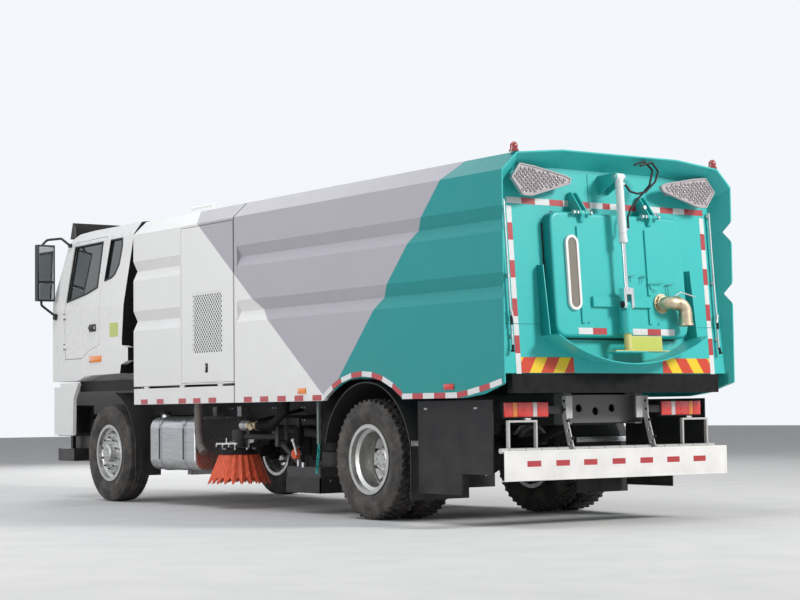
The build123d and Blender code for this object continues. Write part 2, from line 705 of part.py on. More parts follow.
# Front bumper with its end returns, number plate recess left bare, and head lamps
with BuildPart() as front_bumper:
    with BuildSketch(Plane.XY.offset(BUMPER_LOW)) as plan:
        with Locations((0, sta((BUMPER_FRONT + BUMPER_REAR) / 2))):
            RectangleRounded(2 * CAB_X, BUMPER_REAR - BUMPER_FRONT, 150)
        with Locations((0, sta(BUMPER_REAR - 100))):
            Rectangle(2 * CAB_X, 200)
        with Locations((0, sta((BUMPER_FRONT + BUMPER_REAR) / 2 + BUMPER_T))):
            RectangleRounded(2 * (CAB_X - BUMPER_T), BUMPER_REAR - BUMPER_FRONT, 112, mode=Mode.SUBTRACT)
        with Locations((0, sta(BUMPER_REAR - 60))):
            Rectangle(2 * (CAB_X - BUMPER_T), 200, mode=Mode.SUBTRACT)
    extrude(plan.sketch, amount=BUMPER_TOP - BUMPER_LOW)
    for s in sides.values():
        block(s * 760, s * 1110, BUMPER_FRONT - 5, BUMPER_FRONT + 30, 880, 1080, mode=Mode.SUBTRACT)
    for s in sides.values():
        block(s * (RAIL_OUT_X - 80), s * RAIL_OUT_X, BUMPER_FRONT + BUMPER_T - 1, RAIL_FRONT - SEAT_GAP, 940, 1040)
    for s in sides.values():
        side_slab(
            [
                (-6150, BUMPER_TOP - 10),
                (-6150, CHEEK_TOP),
                (-5720, CHEEK_TOP),
                (-5691, 1276),
                (-5812, 1112),
                (BUMPER_REAR + 33, BUMPER_LOW),
                (BUMPER_REAR - 20, BUMPER_LOW),
                (BUMPER_REAR - 20, BUMPER_TOP - 10),
            ],
            s * (CAB_X - BUMPER_T),
            s * CAB_X,
        )
        block(s * 960, s * (CAB_X - BUMPER_T - SEAT_GAP), -6290, -5880, 420, 560)
        block(s * 1000, s * 1040, -6250, -6200, 560, 700)
        block(s * 960, s * (CAB_X - BUMPER_T - SEAT_GAP), -6290, BUMPER_REAR, 700, 730)
        block(s * 960, s * (CAB_X - BUMPER_T - SEAT_GAP), -6290, BUMPER_REAR, 1010, 1040)
        block(s * 940, s * 960, -6290, BUMPER_REAR, 420, 1040)
        block(s * (RAIL_OUT_X + SEAT_GAP), s * 940, -6100, -6040, 880, 940)

# Cab: one closed form drawn in by its wall, with doors and windows cut
CAB_SPAN = 2 * CAB_X + 200


def cab_form(inset):
    """The cab's closed form, drawn in by inset on every side."""
    with BuildPart() as form:
        with BuildSketch(Plane.YZ.offset(-CAB_SPAN / 2)):
            with BuildLine():
                Polyline(*[(sta(y), z) for y, z in CAB_SIDE], close=True)
            make_face()
            if inset:
                offset(amount=-inset, kind=Kind.INTERSECTION, mode=Mode.REPLACE)
        extrude(amount=CAB_SPAN)
        with BuildSketch(Plane.XZ.offset(-sta(-4300))):
            with BuildLine():
                Polyline(*mirrored(CAB_FRONT), close=True)
            make_face()
            if inset:
                offset(amount=-inset, kind=Kind.INTERSECTION, mode=Mode.REPLACE)
        extrude(amount=2400, mode=Mode.INTERSECT)
        with BuildSketch(Plane.XY.offset(CAB_BOTTOM - 100)):
            with Locations((0, sta(-5400))):
                RectangleRounded(2 * (CAB_X + 20 - inset), 2 * (1025 - inset), 150 - inset)
            with Locations((0, sta(-4900))):
                Rectangle(2 * (CAB_X + 20 - inset), 1200)
        extrude(amount=2200, mode=Mode.INTERSECT)
    return form.part


cab_outer = cab_form(0)
cab_inner = cab_form(CAB_WALL)
glass_outer = cab_form(14)
glass_inner = cab_form(14 + GLASS_T)
WINDSCREEN = [(1085.0, 2215.0), (1035.0, 2830.0)]

with BuildPart() as cab_shell:
    add(cab_outer)
    add(cab_inner, mode=Mode.SUBTRACT)
    for s in sides.values():
        with BuildSketch(Plane.YZ.offset(s * 900)) as opening:
            with BuildLine():
                Polyline(*[(sta(y), z) for y, z in CAB_DOOR], close=True)
            make_face()
            offset(amount=DOOR_GAP, kind=Kind.INTERSECTION, mode=Mode.REPLACE)
        extrude(opening.sketch, amount=s * 400, mode=Mode.SUBTRACT)
        side_slab(QUARTER_WINDOW, s * 900, s * 1300, mode=Mode.SUBTRACT)
        for z in DOOR_HINGE_ZS:
            for dz in (-33, 21):
                block(s * (CAB_X - 2), s * (CAB_HINGE_X + 8), CAB_HINGE_Y - 36, CAB_HINGE_Y + 8, z + dz, z + dz + 12)
            rod((s * CAB_HINGE_X, CAB_HINGE_Y, z - 33), (s * CAB_HINGE_X, CAB_HINGE_Y, z + 33), HINGE_PIN_R)
    cross_slab(mirrored(WINDSCREEN), -6500, -5900, mode=Mode.SUBTRACT)
    block(-380, 380, -5900, -4700, CAB_BOTTOM + 60, 1560)
    for s in sides.values():
        side_slab(
            [(-5662, 1330), (-5600, 1478), (-5420, 1602), (-5150, 1690), (-4560, 1668), (-4436, 1643), (-4436, 1504),
             (-4596, 1466), (-4622, 1372), (-5440, 1364), (-5580, 1330)],
            s * (CAB_X - CAB_WALL),
            s * (CAB_X + 22),
        )

# Front screen and quarter windows only: the door windows belong to the doors
with BuildPart() as keep_out:
    with BuildSketch(Plane.XZ.offset(-sta(-5900))) as screen:
        with BuildLine():
            Polyline(*mirrored(WINDSCREEN), close=True)
        make_face()
        offset(amount=-SEAT_GAP, kind=Kind.INTERSECTION, mode=Mode.REPLACE)
    extrude(screen.sketch, amount=700)
    for s in sides.values():
        block(s * 900, s * 1300, -5100, -4500, 2300, 2900)

with BuildPart() as cab_glass:
    add(glass_outer)
    add(glass_inner, mode=Mode.SUBTRACT)
    with BuildSketch(Plane.YZ.offset(-1300)) as keep:
        with BuildLine():
            Polyline(*[(sta(y), z) for y, z in QUARTER_WINDOW], close=True)
        make_face()
        offset(amount=-SEAT_GAP, kind=Kind.INTERSECTION, mode=Mode.REPLACE)
        with BuildLine():
            Polyline((sta(-6600), 2100), (sta(-5900), 2100), (sta(-5900), 2950), (sta(-6600), 2950), close=True)
        make_face()
    extrude(keep.sketch, amount=2600, mode=Mode.INTERSECT)
    add(keep_out.part, mode=Mode.INTERSECT)

cab_doors = {}
door_glass = {}
for side, s in sides.items():
    with BuildPart() as door:
        add(cab_outer)
        add(cab_inner, mode=Mode.SUBTRACT)
        side_slab(CAB_DOOR, s * 900, s * 1300, mode=Mode.INTERSECT)
        side_slab(CAB_WINDOW, s * 900, s * 1300, mode=Mode.SUBTRACT)
        block(s * CAB_X, s * (CAB_X + 24), -5385, -5255, 1870, 1900)
        for z in DOOR_HINGE_ZS:
            rod((s * CAB_HINGE_X, CAB_HINGE_Y, z - 20), (s * CAB_HINGE_X, CAB_HINGE_Y, z + 20), 8)
            block(s * (CAB_X - 1), s * (CAB_HINGE_X + 4), CAB_HINGE_Y + 25, CAB_HINGE_Y + 70, z - 20, z + 20)
            block(s * (CAB_X + 3), s * (CAB_HINGE_X + 4), CAB_HINGE_Y, CAB_HINGE_Y + 30, z - 20, z + 20)
            rod((s * CAB_HINGE_X, CAB_HINGE_Y, z - 21), (s * CAB_HINGE_X, CAB_HINGE_Y, z + 21),
                HINGE_PIN_R + PIN_CLEARANCE, mode=Mode.SUBTRACT)
    cab_doors[side] = door
    with BuildPart() as glass:
        add(glass_outer)
        add(glass_inner, mode=Mode.SUBTRACT)
        with BuildSketch(Plane.YZ.offset(s * 900)) as keep:
            with BuildLine():
                Polyline(*[(sta(y), z) for y, z in CAB_WINDOW], close=True)
            make_face()
            offset(amount=-SEAT_GAP, kind=Kind.INTERSECTION, mode=Mode.REPLACE)
        extrude(keep.sketch, amount=s * 400, mode=Mode.INTERSECT)
    door_glass[side] = glass

with BuildPart() as cab_interior:
    for x in (-SEAT_X, SEAT_X):
        block(x - 240, x + 240, -5480, -5000, 1520, 1680)
        block(x - 240, x + 240, -5060, -4940, 1680, 2340)
        block(x - 180, x + 180, -5440, -5040, 1372 + CAB_WALL + SEAT_GAP, 1520)
    side_slab([(-6371.5, 1700), (-6339.7, 2118), (-6080, 2150), (-5930, 2060), (-5960, 1700)], -1040, 1040)
    rod((SEAT_X, -5960, 1960), (SEAT_X, -5780, 2072.5), 26)
    with BuildSketch(Plane(origin=(SEAT_X, sta(-5790), 2066), z_dir=(0, 0.85, 0.53))) as wheel_ring:
        Circle(230)
        Circle(205, mode=Mode.SUBTRACT)
        Rectangle(430, 46)
    extrude(wheel_ring.sketch, amount=26)



def nose_y(z):
    """Station of the cab's nose below the screen at a height."""
    return -6400 - (z - 1312) * 20 / 388


with BuildPart() as cab_trim:
    side_slab([(-6255, 2945), (-6190, 3125), (-6178, 3125), (-6240, 2942)], -1040, 1040)
    for s in sides.values():
        side_slab([(-6255, 2945), (-6190, 3125), (-6150, 3100), (-6120, 2960)], s * 1028, s * 1040)
        side_slab([(-6250, 2945), (-6225, 2990), (-6060, 2945), (-6060.5, 2929.5)], s * 640, s * 680)
    for k in range(6):
        z = 1380 + k * 56
        side_slab(
            [(nose_y(z) - 15, z), (nose_y(z + 34) - 15, z + 34), (nose_y(z + 34) - SEAT_GAP, z + 34), (nose_y(z) - SEAT_GAP, z)],
            -700,
            700,
        )
    for x in (-700, -240, 200, 660):
        side_slab(
            [(nose_y(1380) - 14, 1380), (nose_y(1694) - 14, 1694), (nose_y(1694) - SEAT_GAP, 1694), (nose_y(1380) - SEAT_GAP, 1380)],
            x,
            x + 40,
        )

with BuildPart() as mirrors:
    for s in sides.values():
        block(s * 1250, s * 1460, -6295, -6215, 2225, 2865)
        tube(
            [
                (s * 1150, -6030, 2850),
                (s * 1215, -6120, 2935),
                (s * 1330, -6255, 2925),
                (s * 1400, -6255, 2850),
                (s * 1400, -6255, 2180),
                (s * 1236, -6240, 2060),
            ],
            14,
            40,
        )
        rod((s * 1134.4, -6030, 2850), (s * 1165, -6030, 2850), 24)
        rod((s * 1215.4, -6240, 2060), (s * 1250, -6240, 2060), 24)

# Equipment housing: water and engine compartments, with an opening on each side
BODY_HALF = [(BODY_X, FLOOR_Z), (BODY_X, SIDE_TOP), (CHAMFER_X, CHAMFER_Z), (RIDGE_X, RIDGE_Z)]
INNER_HALF = [
    (BODY_X - WALL, FLOOR_Z + FLOOR_T),
    (BODY_X - WALL, SIDE_TOP - 25),
    (CHAMFER_X - 30, CHAMFER_Z - 60),
    (RIDGE_X - 5, RIDGE_Z - 50),
]


def cut_grooves(y0, y1):
    """Cut the long V grooves into both side walls between two stations."""
    for z0, zm, z1 in GROOVES:
        for s in sides.values():
            cross_slab([(s * (BODY_X + 1), z0), (s * (BODY_X - GROOVE_D), zm), (s * (BODY_X + 1), z1)], y0, y1,
                       mode=Mode.SUBTRACT)


PARTITION = HOUSE_SPLIT - 60
JAMB = 40.0
with BuildPart() as housing:
    cross_slab(mirrored(BODY_HALF), HOUSE_FRONT, HOUSE_REAR)
    cut_grooves(HOUSE_FRONT - 5, HOUSE_SPLIT - 15)
    cross_slab(mirrored(INNER_HALF), HOUSE_FRONT + 50, PARTITION, mode=Mode.SUBTRACT)
    cross_slab(mirrored(INNER_HALF), PARTITION + 40, HOUSE_REAR - 50, mode=Mode.SUBTRACT)
    for s in sides.values():
        block(s * (BODY_X - PANEL_T - 2), s * (BODY_X + 5), HOUSE_SPLIT, HOUSE_REAR + 5, FLOOR_Z + 12, PANEL_TOP + PANEL_GAP,
              mode=Mode.SUBTRACT)
        block(s * (BODY_X - 2 * WALL), s * (BODY_X + 5), HOUSE_SPLIT + JAMB, HOUSE_REAR - 50 - JAMB, FLOOR_Z + FLOOR_T,
              PANEL_TOP - JAMB, mode=Mode.SUBTRACT)
    for s in sides.values():
        x = s * (BODY_X - PANEL_T / 2)
        y = HOUSE_SPLIT + PANEL_GAP + PANEL_T / 2
        rod((x, y, FLOOR_Z + 10), (x, y, FLOOR_Z + 38), HINGE_PIN_R)
        rod((x, y, PANEL_TOP - 20), (x, y, PANEL_TOP + PANEL_GAP + 2), HINGE_PIN_R)
        for y in FLAP_HINGE_YS:
            for dy in (-46, 31):
                block(s * (FLAP_HINGE_X - 8), s * (FLAP_HINGE_X + 7), y + dy, y + dy + 15, FLAP_HINGE_Z - 8, FLOOR_Z + 1)
            rod((s * FLAP_HINGE_X, y - 46, FLAP_HINGE_Z), (s * FLAP_HINGE_X, y + 46, FLAP_HINGE_Z), HINGE_PIN_R)
    for x in (-820, 820):
        for y in (-3750, -3340):
            rod((x, y, 2985), (x, y, 3070), 14)
        rod((x, -3764, 3070), (x, -3326, 3070), 14)

with BuildPart() as aux_engine:
    block(-480, 480, -3120, -2420, FLOOR_Z + FLOOR_T + SEAT_GAP, 2100)

housing_doors = {}
skirt_flaps = {}
for side, s in sides.items():
    with BuildPart() as door:
        block(s * (BODY_X - PANEL_T), s * BODY_X, HOUSE_SPLIT + PANEL_GAP, HOUSE_REAR - PANEL_GAP, FLOOR_Z + 18, PANEL_TOP)
        fillet(door.edges().filter_by(Axis.Z).sort_by(Axis.Y)[:2], PANEL_T / 2 - 0.1)
        x = s * (BODY_X - PANEL_T / 2)
        y = HOUSE_SPLIT + PANEL_GAP + PANEL_T / 2
        rod((x, y, FLOOR_Z + 10), (x, y, FLOOR_Z + 42), HINGE_PIN_R + PIN_CLEARANCE, mode=Mode.SUBTRACT)
        rod((x, y, PANEL_TOP - 24), (x, y, PANEL_TOP + 2), HINGE_PIN_R + PIN_CLEARANCE, mode=Mode.SUBTRACT)
        block(s * (BODY_X - PANEL_T - 5), s * (BODY_X + 5), GRILLE_Y0, GRILLE_Y1, GRILLE_Z0, GRILLE_Z1, mode=Mode.SUBTRACT)
        for k in range(12):
            z = GRILLE_Z0 + 10 + k * 52
            block(s * (BODY_X - 14), s * (BODY_X - 8), GRILLE_Y0, GRILLE_Y1, z, z + 30)
        for k in range(5):
            y = GRILLE_Y0 + 40 + k * 130
            block(s * (BODY_X - 14), s * (BODY_X - 8), y, y + 24, GRILLE_Z0, GRILLE_Z1)
    housing_doors[side] = door
    with BuildPart() as flap:
        block(s * (BODY_X - 20), s * BODY_X, HOUSE_FRONT + 5, HOUSE_REAR - 5, SKIRT_BOTTOM, FLAP_HINGE_Z - 12)
        for y in FLAP_HINGE_YS:
            block(s * (FLAP_HINGE_X - 8), s * (FLAP_HINGE_X + 8), y - 30, y + 30, FLAP_HINGE_Z - 13, FLAP_HINGE_Z)
            rod((s * FLAP_HINGE_X, y - 30, FLAP_HINGE_Z), (s * FLAP_HINGE_X, y + 30, FLAP_HINGE_Z), 8)
            rod((s * FLAP_HINGE_X, y - 31, FLAP_HINGE_Z), (s * FLAP_HINGE_X, y + 31, FLAP_HINGE_Z),
                HINGE_PIN_R + PIN_CLEARANCE, mode=Mode.SUBTRACT)
    skirt_flaps[side] = flap

# Waste tank: grooved walls, hooded tail and skirts with the wheel arches cut in
TANK_HALF = [(BODY_X, SKIRT_BOTTOM), (BODY_X, SIDE_TOP), (CHAMFER_X, CHAMFER_Z), (RIDGE_X, RIDGE_Z)]
TAIL_TILT = atan2(TAIL_LOW_Y - TAIL_TOP_Y, CHAMFER_Z - FLOOR_Z)


def tail_y(z):
    """Station of the tail wall's outer face at a height."""
    return TAIL_LOW_Y - (z - FLOOR_Z) * tan(TAIL_TILT)


tail_plane = Plane(origin=(0, sta(TAIL_LOW_Y), FLOOR_Z), x_dir=(-1, 0, 0), z_dir=(0, cos(TAIL_TILT), sin(TAIL_TILT)))


def tail_box(x0, x1, z0, z1, off0, off1, mode=Mode.ADD):
    """Box on the tail wall between two X, two heights and two distances out from it."""
    v0 = (z0 - FLOOR_Z) / cos(TAIL_TILT)
    v1 = (z1 - FLOOR_Z) / cos(TAIL_TILT)
    with BuildSketch(tail_plane.offset(off0)) as patch:
        with Locations((-(x0 + x1) / 2, (v0 + v1) / 2)):
            Rectangle(abs(x1 - x0), v1 - v0)
    extrude(patch.sketch, amount=off1 - off0, mode=mode)


def tail_point(x, z, off):
    """Point at a distance out from the tail wall, Y as a station."""
    return (x, tail_y(z) + off * cos(TAIL_TILT), z + off * sin(TAIL_TILT))


def tail_slab(points, x0, x1, mode=Mode.ADD):
    """Plate square to the tail wall; its outline gives distances out and heights."""
    side_slab([tail_point(0, z, off)[1:] for off, z in points], x0, x1, mode)


RECESS_REAR = [(1242.0, 1100.0), (1242.0, 2810.0), (1088.0, 2957.0), (622.0, 3005.0)]
RECESS_DEEP = [(1060.0, 1100.0), (1060.0, 2640.0), (930.0, 2790.0), (560.0, 2830.0)]
# Chute under the door with its end gussets
with BuildPart() as chute:
    with BuildSketch(Plane.XZ.offset(-sta(2130))) as band:
        with BuildLine():
            ThreePointArc((-805, 1518), (0, 1290), (805, 1518))
            Line((805, 1518), (805, 1528))
            ThreePointArc((805, 1528), (0, 1300), (-805, 1528))
            Line((-805, 1528), (-805, 1518))
        make_face()
    extrude(band.sketch, amount=240)
    for s in sides.values():
        side_slab(
            [
                (tail_y(2085) - 20, 2085),
                (tail_y(2085) + 77, 2085),
                (tail_y(1520) + 113, 1520),
                (tail_y(1520) - 20, 1520),
            ],
            s * 796,
            s * 805,
        )
    with BuildSketch(tail_plane.offset(-5)) as trim:
        Rectangle(3000, 4000)
    extrude(trim.sketch, amount=400, mode=Mode.INTERSECT)

# Inside of the tank
with BuildPart() as hollow:
    cross_slab(mirrored(INNER_HALF), TANK_FRONT + TANK_FRONT_WALL, TANK_REAR)
    side_slab(
        [(TANK_FRONT, FLOOR_Z), (TANK_FRONT, 3100), (tail_y(3100) - TAIL_WALL, 3100), (tail_y(FLOOR_Z) - TAIL_WALL, FLOOR_Z)],
        -BODY_X, BODY_X, mode=Mode.INTERSECT)

# Space under the hood that overhangs the tail wall
with BuildPart() as recess:
    for y, half in ((TANK_REAR + 5, RECESS_REAR), (1700, RECESS_DEEP)):
        with BuildSketch(Plane.XZ.offset(-sta(y))):
            with BuildLine():
                Polyline(*mirrored(half), close=True)
            make_face()
    loft(ruled=True)
    side_slab(
        [(tail_y(1000), 1000), (tail_y(3100), 3100), (TANK_REAR + 50, 3100), (TANK_REAR + 50, 1000)],
        -BODY_X, BODY_X, mode=Mode.INTERSECT)

with BuildPart() as tank:
    cross_slab(mirrored(TANK_HALF), TANK_FRONT, TANK_REAR)
    block(-BODY_X + SKIRT_T, BODY_X - SKIRT_T, TANK_FRONT - 5, TANK_REAR + 5, SKIRT_BOTTOM - 5, FLOOR_Z, mode=Mode.SUBTRACT)
    cut_grooves(TANK_FRONT + 50, TANK_REAR + 5)
    add(hollow.part, mode=Mode.SUBTRACT)
    add(recess.part, mode=Mode.SUBTRACT)
    tail_box(-640, 640, 1590, 2440, -80, 20, mode=Mode.SUBTRACT)
    for s in sides.values():
        with BuildSketch(Plane.YZ.offset(s * (BODY_X - 60))) as arch:
            with Locations((REAR_AXLE_Y, ARCH_Z)):
                Circle(ARCH_R)
        extrude(arch.sketch, amount=s * 70, mode=Mode.SUBTRACT)
        side_slab([(SKIRT_RISE_Y, SKIRT_BOTTOM - 1), (1700, 1062), (TANK_REAR + 1, SKIRT_REAR_Z), (TANK_REAR + 1, 1000)],
                  s * (BODY_X - 60), s * (BODY_X + 10), mode=Mode.SUBTRACT)
    for x in DOOR_HINGE_XS:
        for dx in (-34, 22):
            tail_slab(
                [
                    (-10, 2690),
                    (-10, 2550),
                    (DOOR_HINGE_OFF - 18, DOOR_HINGE_Z + 18),
                    (DOOR_HINGE_OFF - 18, DOOR_HINGE_Z - 5),
                    (DOOR_HINGE_OFF + 18, DOOR_HINGE_Z - 15),
                    (DOOR_HINGE_OFF + 18, DOOR_HINGE_Z + 25),
                    (45, 2690),
                ],
                x + dx,
                x + dx + 12,
            )
        rod(
            tail_point(x - 90, DOOR_HINGE_Z, DOOR_HINGE_OFF),
            tail_point(x + 90, DOOR_HINGE_Z, DOOR_HINGE_OFF),
            DOOR_PIN_R,
        )
    for dx in (-52, 40):
        tail_slab(
            [
                (-10, RAM_TOP_Z + 40),
                (-10, RAM_TOP_Z - 120),
                (RAM_TOP_OFF + 10, RAM_TOP_Z - 28),
                (RAM_TOP_OFF + 26, RAM_TOP_Z - 10),
                (RAM_TOP_OFF + 26, RAM_TOP_Z + 16),
                (RAM_TOP_OFF + 10, RAM_TOP_Z + 30),
            ],
            RAM_X + dx,
            RAM_X + dx + 12,
        )
    rod(tail_point(RAM_X - 50, RAM_TOP_Z, RAM_TOP_OFF), tail_point(RAM_X + 50, RAM_TOP_Z, RAM_TOP_OFF), RAM_PIN_R)
    add(chute.part)

with BuildPart() as underframe:
    for s in sides.values():
        block(s * (RAIL_OUT_X - 80), s * RAIL_OUT_X, TANK_FRONT + 40, 1588, RAIL_TOP + BEAM_TOP_GAP, FLOOR_Z - SEAT_GAP)
        x0 = RAIL_OUT_X + RUNNING_GAP
        block(s * x0, s * (x0 + TIP_LUG_T), TIP_PIN_Y - TIP_LUG_R, TIP_PIN_Y + TIP_LUG_R, TIP_PIN_Z, FLOOR_Z - SEAT_GAP)
        rod((s * x0, TIP_PIN_Y, TIP_PIN_Z), (s * (x0 + TIP_LUG_T), TIP_PIN_Y, TIP_PIN_Z), TIP_LUG_R)
        rod((s * (x0 - 5), TIP_PIN_Y, TIP_PIN_Z), (s * (x0 + TIP_LUG_T + 5), TIP_PIN_Y, TIP_PIN_Z), TIP_PIN_R + PIN_CLEARANCE,
            mode=Mode.SUBTRACT)
    for y in (-2000, -1300, -760, 780, 1500):
        block(-1200, 1200, y - 30, y + 30, 1150, FLOOR_Z - SEAT_GAP)
    block(-350, 350, 330, 470, 1120, FLOOR_Z - SEAT_GAP)
    for x in TIP_XS:
        for dx in (-62, 46):
            side_slab([(345, 1125), (455, 1125), (440, 1010), (360, 1010)], x + dx, x + dx + 16)
    block(-1120, 1120, 1862, 1924, 1064, 1214)
    block(-RAIL_OUT_X - 42, RAIL_OUT_X + 42, 1580, 1924, 1160, FLOOR_Z - SEAT_GAP)
    for s in sides.values():
        rod((s * NOZZLE_STUB_X, NOZZLE_STUB_Y, 566), (s * NOZZLE_STUB_X, NOZZLE_STUB_Y, FLOOR_Z - SEAT_GAP), 130)
        rod((s * NOZZLE_STUB_X, NOZZLE_STUB_Y, 560), (s * NOZZLE_STUB_X, NOZZLE_STUB_Y, FLOOR_Z - 10), 120, mode=Mode.SUBTRACT)


def ram_point(t):
    """Point along the tipping ram, from its foot (0) to its head (1)."""
    return (TIP_LOW[0] + (TIP_HIGH[0] - TIP_LOW[0]) * t, TIP_LOW[1] + (TIP_HIGH[1] - TIP_LOW[1]) * t)


TIP_LENGTH = ((TIP_HIGH[0] - TIP_LOW[0]) ** 2 + (TIP_HIGH[1] - TIP_LOW[1]) ** 2) ** 0.5
TIP_MOUTH = 1 - 110 / TIP_LENGTH
with BuildPart() as tip_barrels:
    for x in TIP_XS:
        rod((x, *ram_point(0)), (x, *ram_point(TIP_MOUTH)), TIP_BARREL_R)
        rod((x, *ram_point(0.06)), (x, *ram_point(TIP_MOUTH + 0.01)), TIP_ROD_R + PIN_CLEARANCE, mode=Mode.SUBTRACT)
    rod((-330, *TIP_LOW), (330, *TIP_LOW), 40)

with BuildPart() as tip_rods:
    for x in TIP_XS:
        rod((x, *ram_point(0.07)), (x, *ram_point(1)), TIP_ROD_R)
        rod((x - 45.7, *TIP_HIGH), (x + 45.7, *TIP_HIGH), TIP_EYE_R + 6)

# Door ribs: X, foot, head and height above the skin
DOOR_RIBS = [(437, 1616, 2400, 14), (-298, 1856, 2400, 14), (65, 1616, 1760, 14), (-290, 1616, 1760, 14)]

# Tail door with its rounded pressing, ribs and the ram's lug
with BuildPart() as tail_door:
    v0 = (DOOR_LOW - FLOOR_Z) / cos(TAIL_TILT)
    v1 = (DOOR_HEAD - FLOOR_Z) / cos(TAIL_TILT)
    with BuildSketch(tail_plane.offset(DOOR_SEAL_GAP)) as panel:
        with Locations((0, (v0 + v1) / 2)):
            RectangleRounded(2 * DOOR_X, v1 - v0, DOOR_CORNER)
    extrude(panel.sketch, amount=DOOR_DEPTH)
    fillet(tail_door.faces().sort_by(Axis.Y)[-1].edges(), 30)
    skin = DOOR_SEAL_GAP + DOOR_DEPTH
    for x in DOOR_HINGE_XS:
        tail_slab(
            [
                (skin - 2, 2430),
                (skin - 2, DOOR_HINGE_Z + 6),
                (DOOR_HINGE_OFF - 8, DOOR_HINGE_Z + 17),
                (DOOR_HINGE_OFF + 12, DOOR_HINGE_Z + 15),
                (DOOR_HINGE_OFF + 18, DOOR_HINGE_Z - 8),
                (DOOR_HINGE_OFF - 6, 2440),
            ],
            x - 17,
            x + 17,
        )
        rod(
            tail_point(x - 40, DOOR_HINGE_Z, DOOR_HINGE_OFF),
            tail_point(x + 40, DOOR_HINGE_Z, DOOR_HINGE_OFF),
            DOOR_PIN_R + PIN_CLEARANCE,
            mode=Mode.SUBTRACT,
        )
    for x, z0, z1, height in DOOR_RIBS:
        tail_box(x - 16, x + 16, z0, z1, skin - 2, skin + height)
    tail_box(335, -305, 1750, 1832, skin - 2, skin + 25)
    tail_slab(
        [
            (skin - 2, RAM_LOW_Z - 50),
            (skin - 2, RAM_LOW_Z + 70),
            (RAM_LOW_OFF - 20, RAM_LOW_Z + 40),
            (RAM_LOW_OFF + 14, RAM_LOW_Z + 26),
            (RAM_LOW_OFF + 26, RAM_LOW_Z),
            (RAM_LOW_OFF + 14, RAM_LOW_Z - 50),
        ],
        RAM_X - LUG_HALF,
        RAM_X + LUG_HALF,
    )
    rod(
        tail_point(RAM_X, 1527, RAM_POST_OFF),
        tail_point(RAM_X, RAM_LOW_Z - RAM_FORK_R - 12, RAM_POST_OFF),
        RAM_POST_R,
    )
    tail_box(RAM_X - 24, RAM_X + 24, 1527, RAM_LOW_Z - 44, skin - 2, RAM_POST_OFF - 20)
    rod(tail_point(RAM_X, 1380, RAM_POST_OFF), tail_point(RAM_X, 1530, RAM_POST_OFF), 30)
    tail_box(RAM_X - 175, RAM_X + 175, 1370, 1380, 90, RAM_POST_OFF + 44)


def ram_at(z, dx=0.0):
    """Point on the door ram's line at a height, dx to the side."""
    share = (RAM_TOP_Z - z) / (RAM_TOP_Z - RAM_LOW_Z)
    return tail_point(RAM_X + dx, z, RAM_TOP_OFF + (RAM_LOW_OFF - RAM_TOP_OFF) * share)


with BuildPart() as door_barrel:
    rod(ram_at(RAM_TOP_Z), ram_at(RAM_TOP_Z - RAM_BARREL_L), RAM_R)
    rod(ram_at(RAM_TOP_Z, -39), ram_at(RAM_TOP_Z, 39), 30)
    rod(ram_at(RAM_TOP_Z - 120), ram_at(RAM_LOW_Z), RAM_ROD_R + PIN_CLEARANCE, mode=Mode.SUBTRACT)
    rod(ram_at(RAM_TOP_Z, -40), ram_at(RAM_TOP_Z, 40), RAM_PIN_R + PIN_CLEARANCE, mode=Mode.SUBTRACT)

# Rod with a fork that straddles the door's lug
with BuildPart() as door_rod:
    rod(ram_at(RAM_TOP_Z - RAM_BARREL_L + 110), ram_at(RAM_LOW_Z + 90), RAM_ROD_R)
    tail_box(RAM_X - 52, RAM_X + 52, RAM_LOW_Z + 86, RAM_LOW_Z + 140, RAM_LOW_OFF - 30, RAM_LOW_OFF + 30)
    for x0, x1 in ((-52, -LUG_HALF - SEAT_GAP), (LUG_HALF + SEAT_GAP, 52)):
        rod(ram_at(RAM_LOW_Z, x0), ram_at(RAM_LOW_Z, x1), RAM_FORK_R)
        tail_box(RAM_X + x0, RAM_X + x1, RAM_LOW_Z, RAM_LOW_Z + 90, RAM_LOW_OFF - 30, RAM_LOW_OFF + 30)

# Oil hoses from the hood to the ram's two ports, looped beside its head: X, height and distance out
HOSES = [
    [(-147, 2925, 192), (-260, 2962, 192), (-350, 2893, 192), (-301, 2762, 192), (-171, 2650, 192), (-73, 2556, 194),
     (-30, 2480, 197), (-30, 2392, 198), (2.5, 2380, 198)],
    [(-186, 2915, 222), (-319, 2951, 222), (-385, 2880, 222), (-340, 2790, 222), (-225, 2698, 222), (-140, 2680, 215),
     (-67, 2696, 206), (-30, 2748, 200), (3.5, 2756, 200)],
]
with BuildPart() as pipes:
    for route in HOSES:
        points = [tail_point(x, z, off) for x, z, off in route]
        tube(points, HOSE_R, 24)

with BuildPart() as sight_glass:
    v0 = (2022 - FLOOR_Z) / cos(TAIL_TILT)
    with BuildSketch(tail_plane.offset(skin + SEAT_GAP)) as stadium:
        with Locations((-518, v0)):
            SlotOverall(600, 122, rotation=90)
    extrude(stadium.sketch, amount=16)

with BuildPart() as drain_elbow:
    with BuildLine() as route:
        p = [tail_point(-420, 1790, skin + SEAT_GAP), tail_point(-420, 1790, skin + 95), tail_point(-600, 1775, skin + 95),
             tail_point(-600, 1600, skin + 95)]
        FilletPolyline(*[(x, sta(y), z) for x, y, z in p], radius=70)
    with BuildSketch(Plane(origin=route.line @ 0, z_dir=route.line % 0)):
        Circle(54)
        Circle(46, mode=Mode.SUBTRACT)
    sweep()

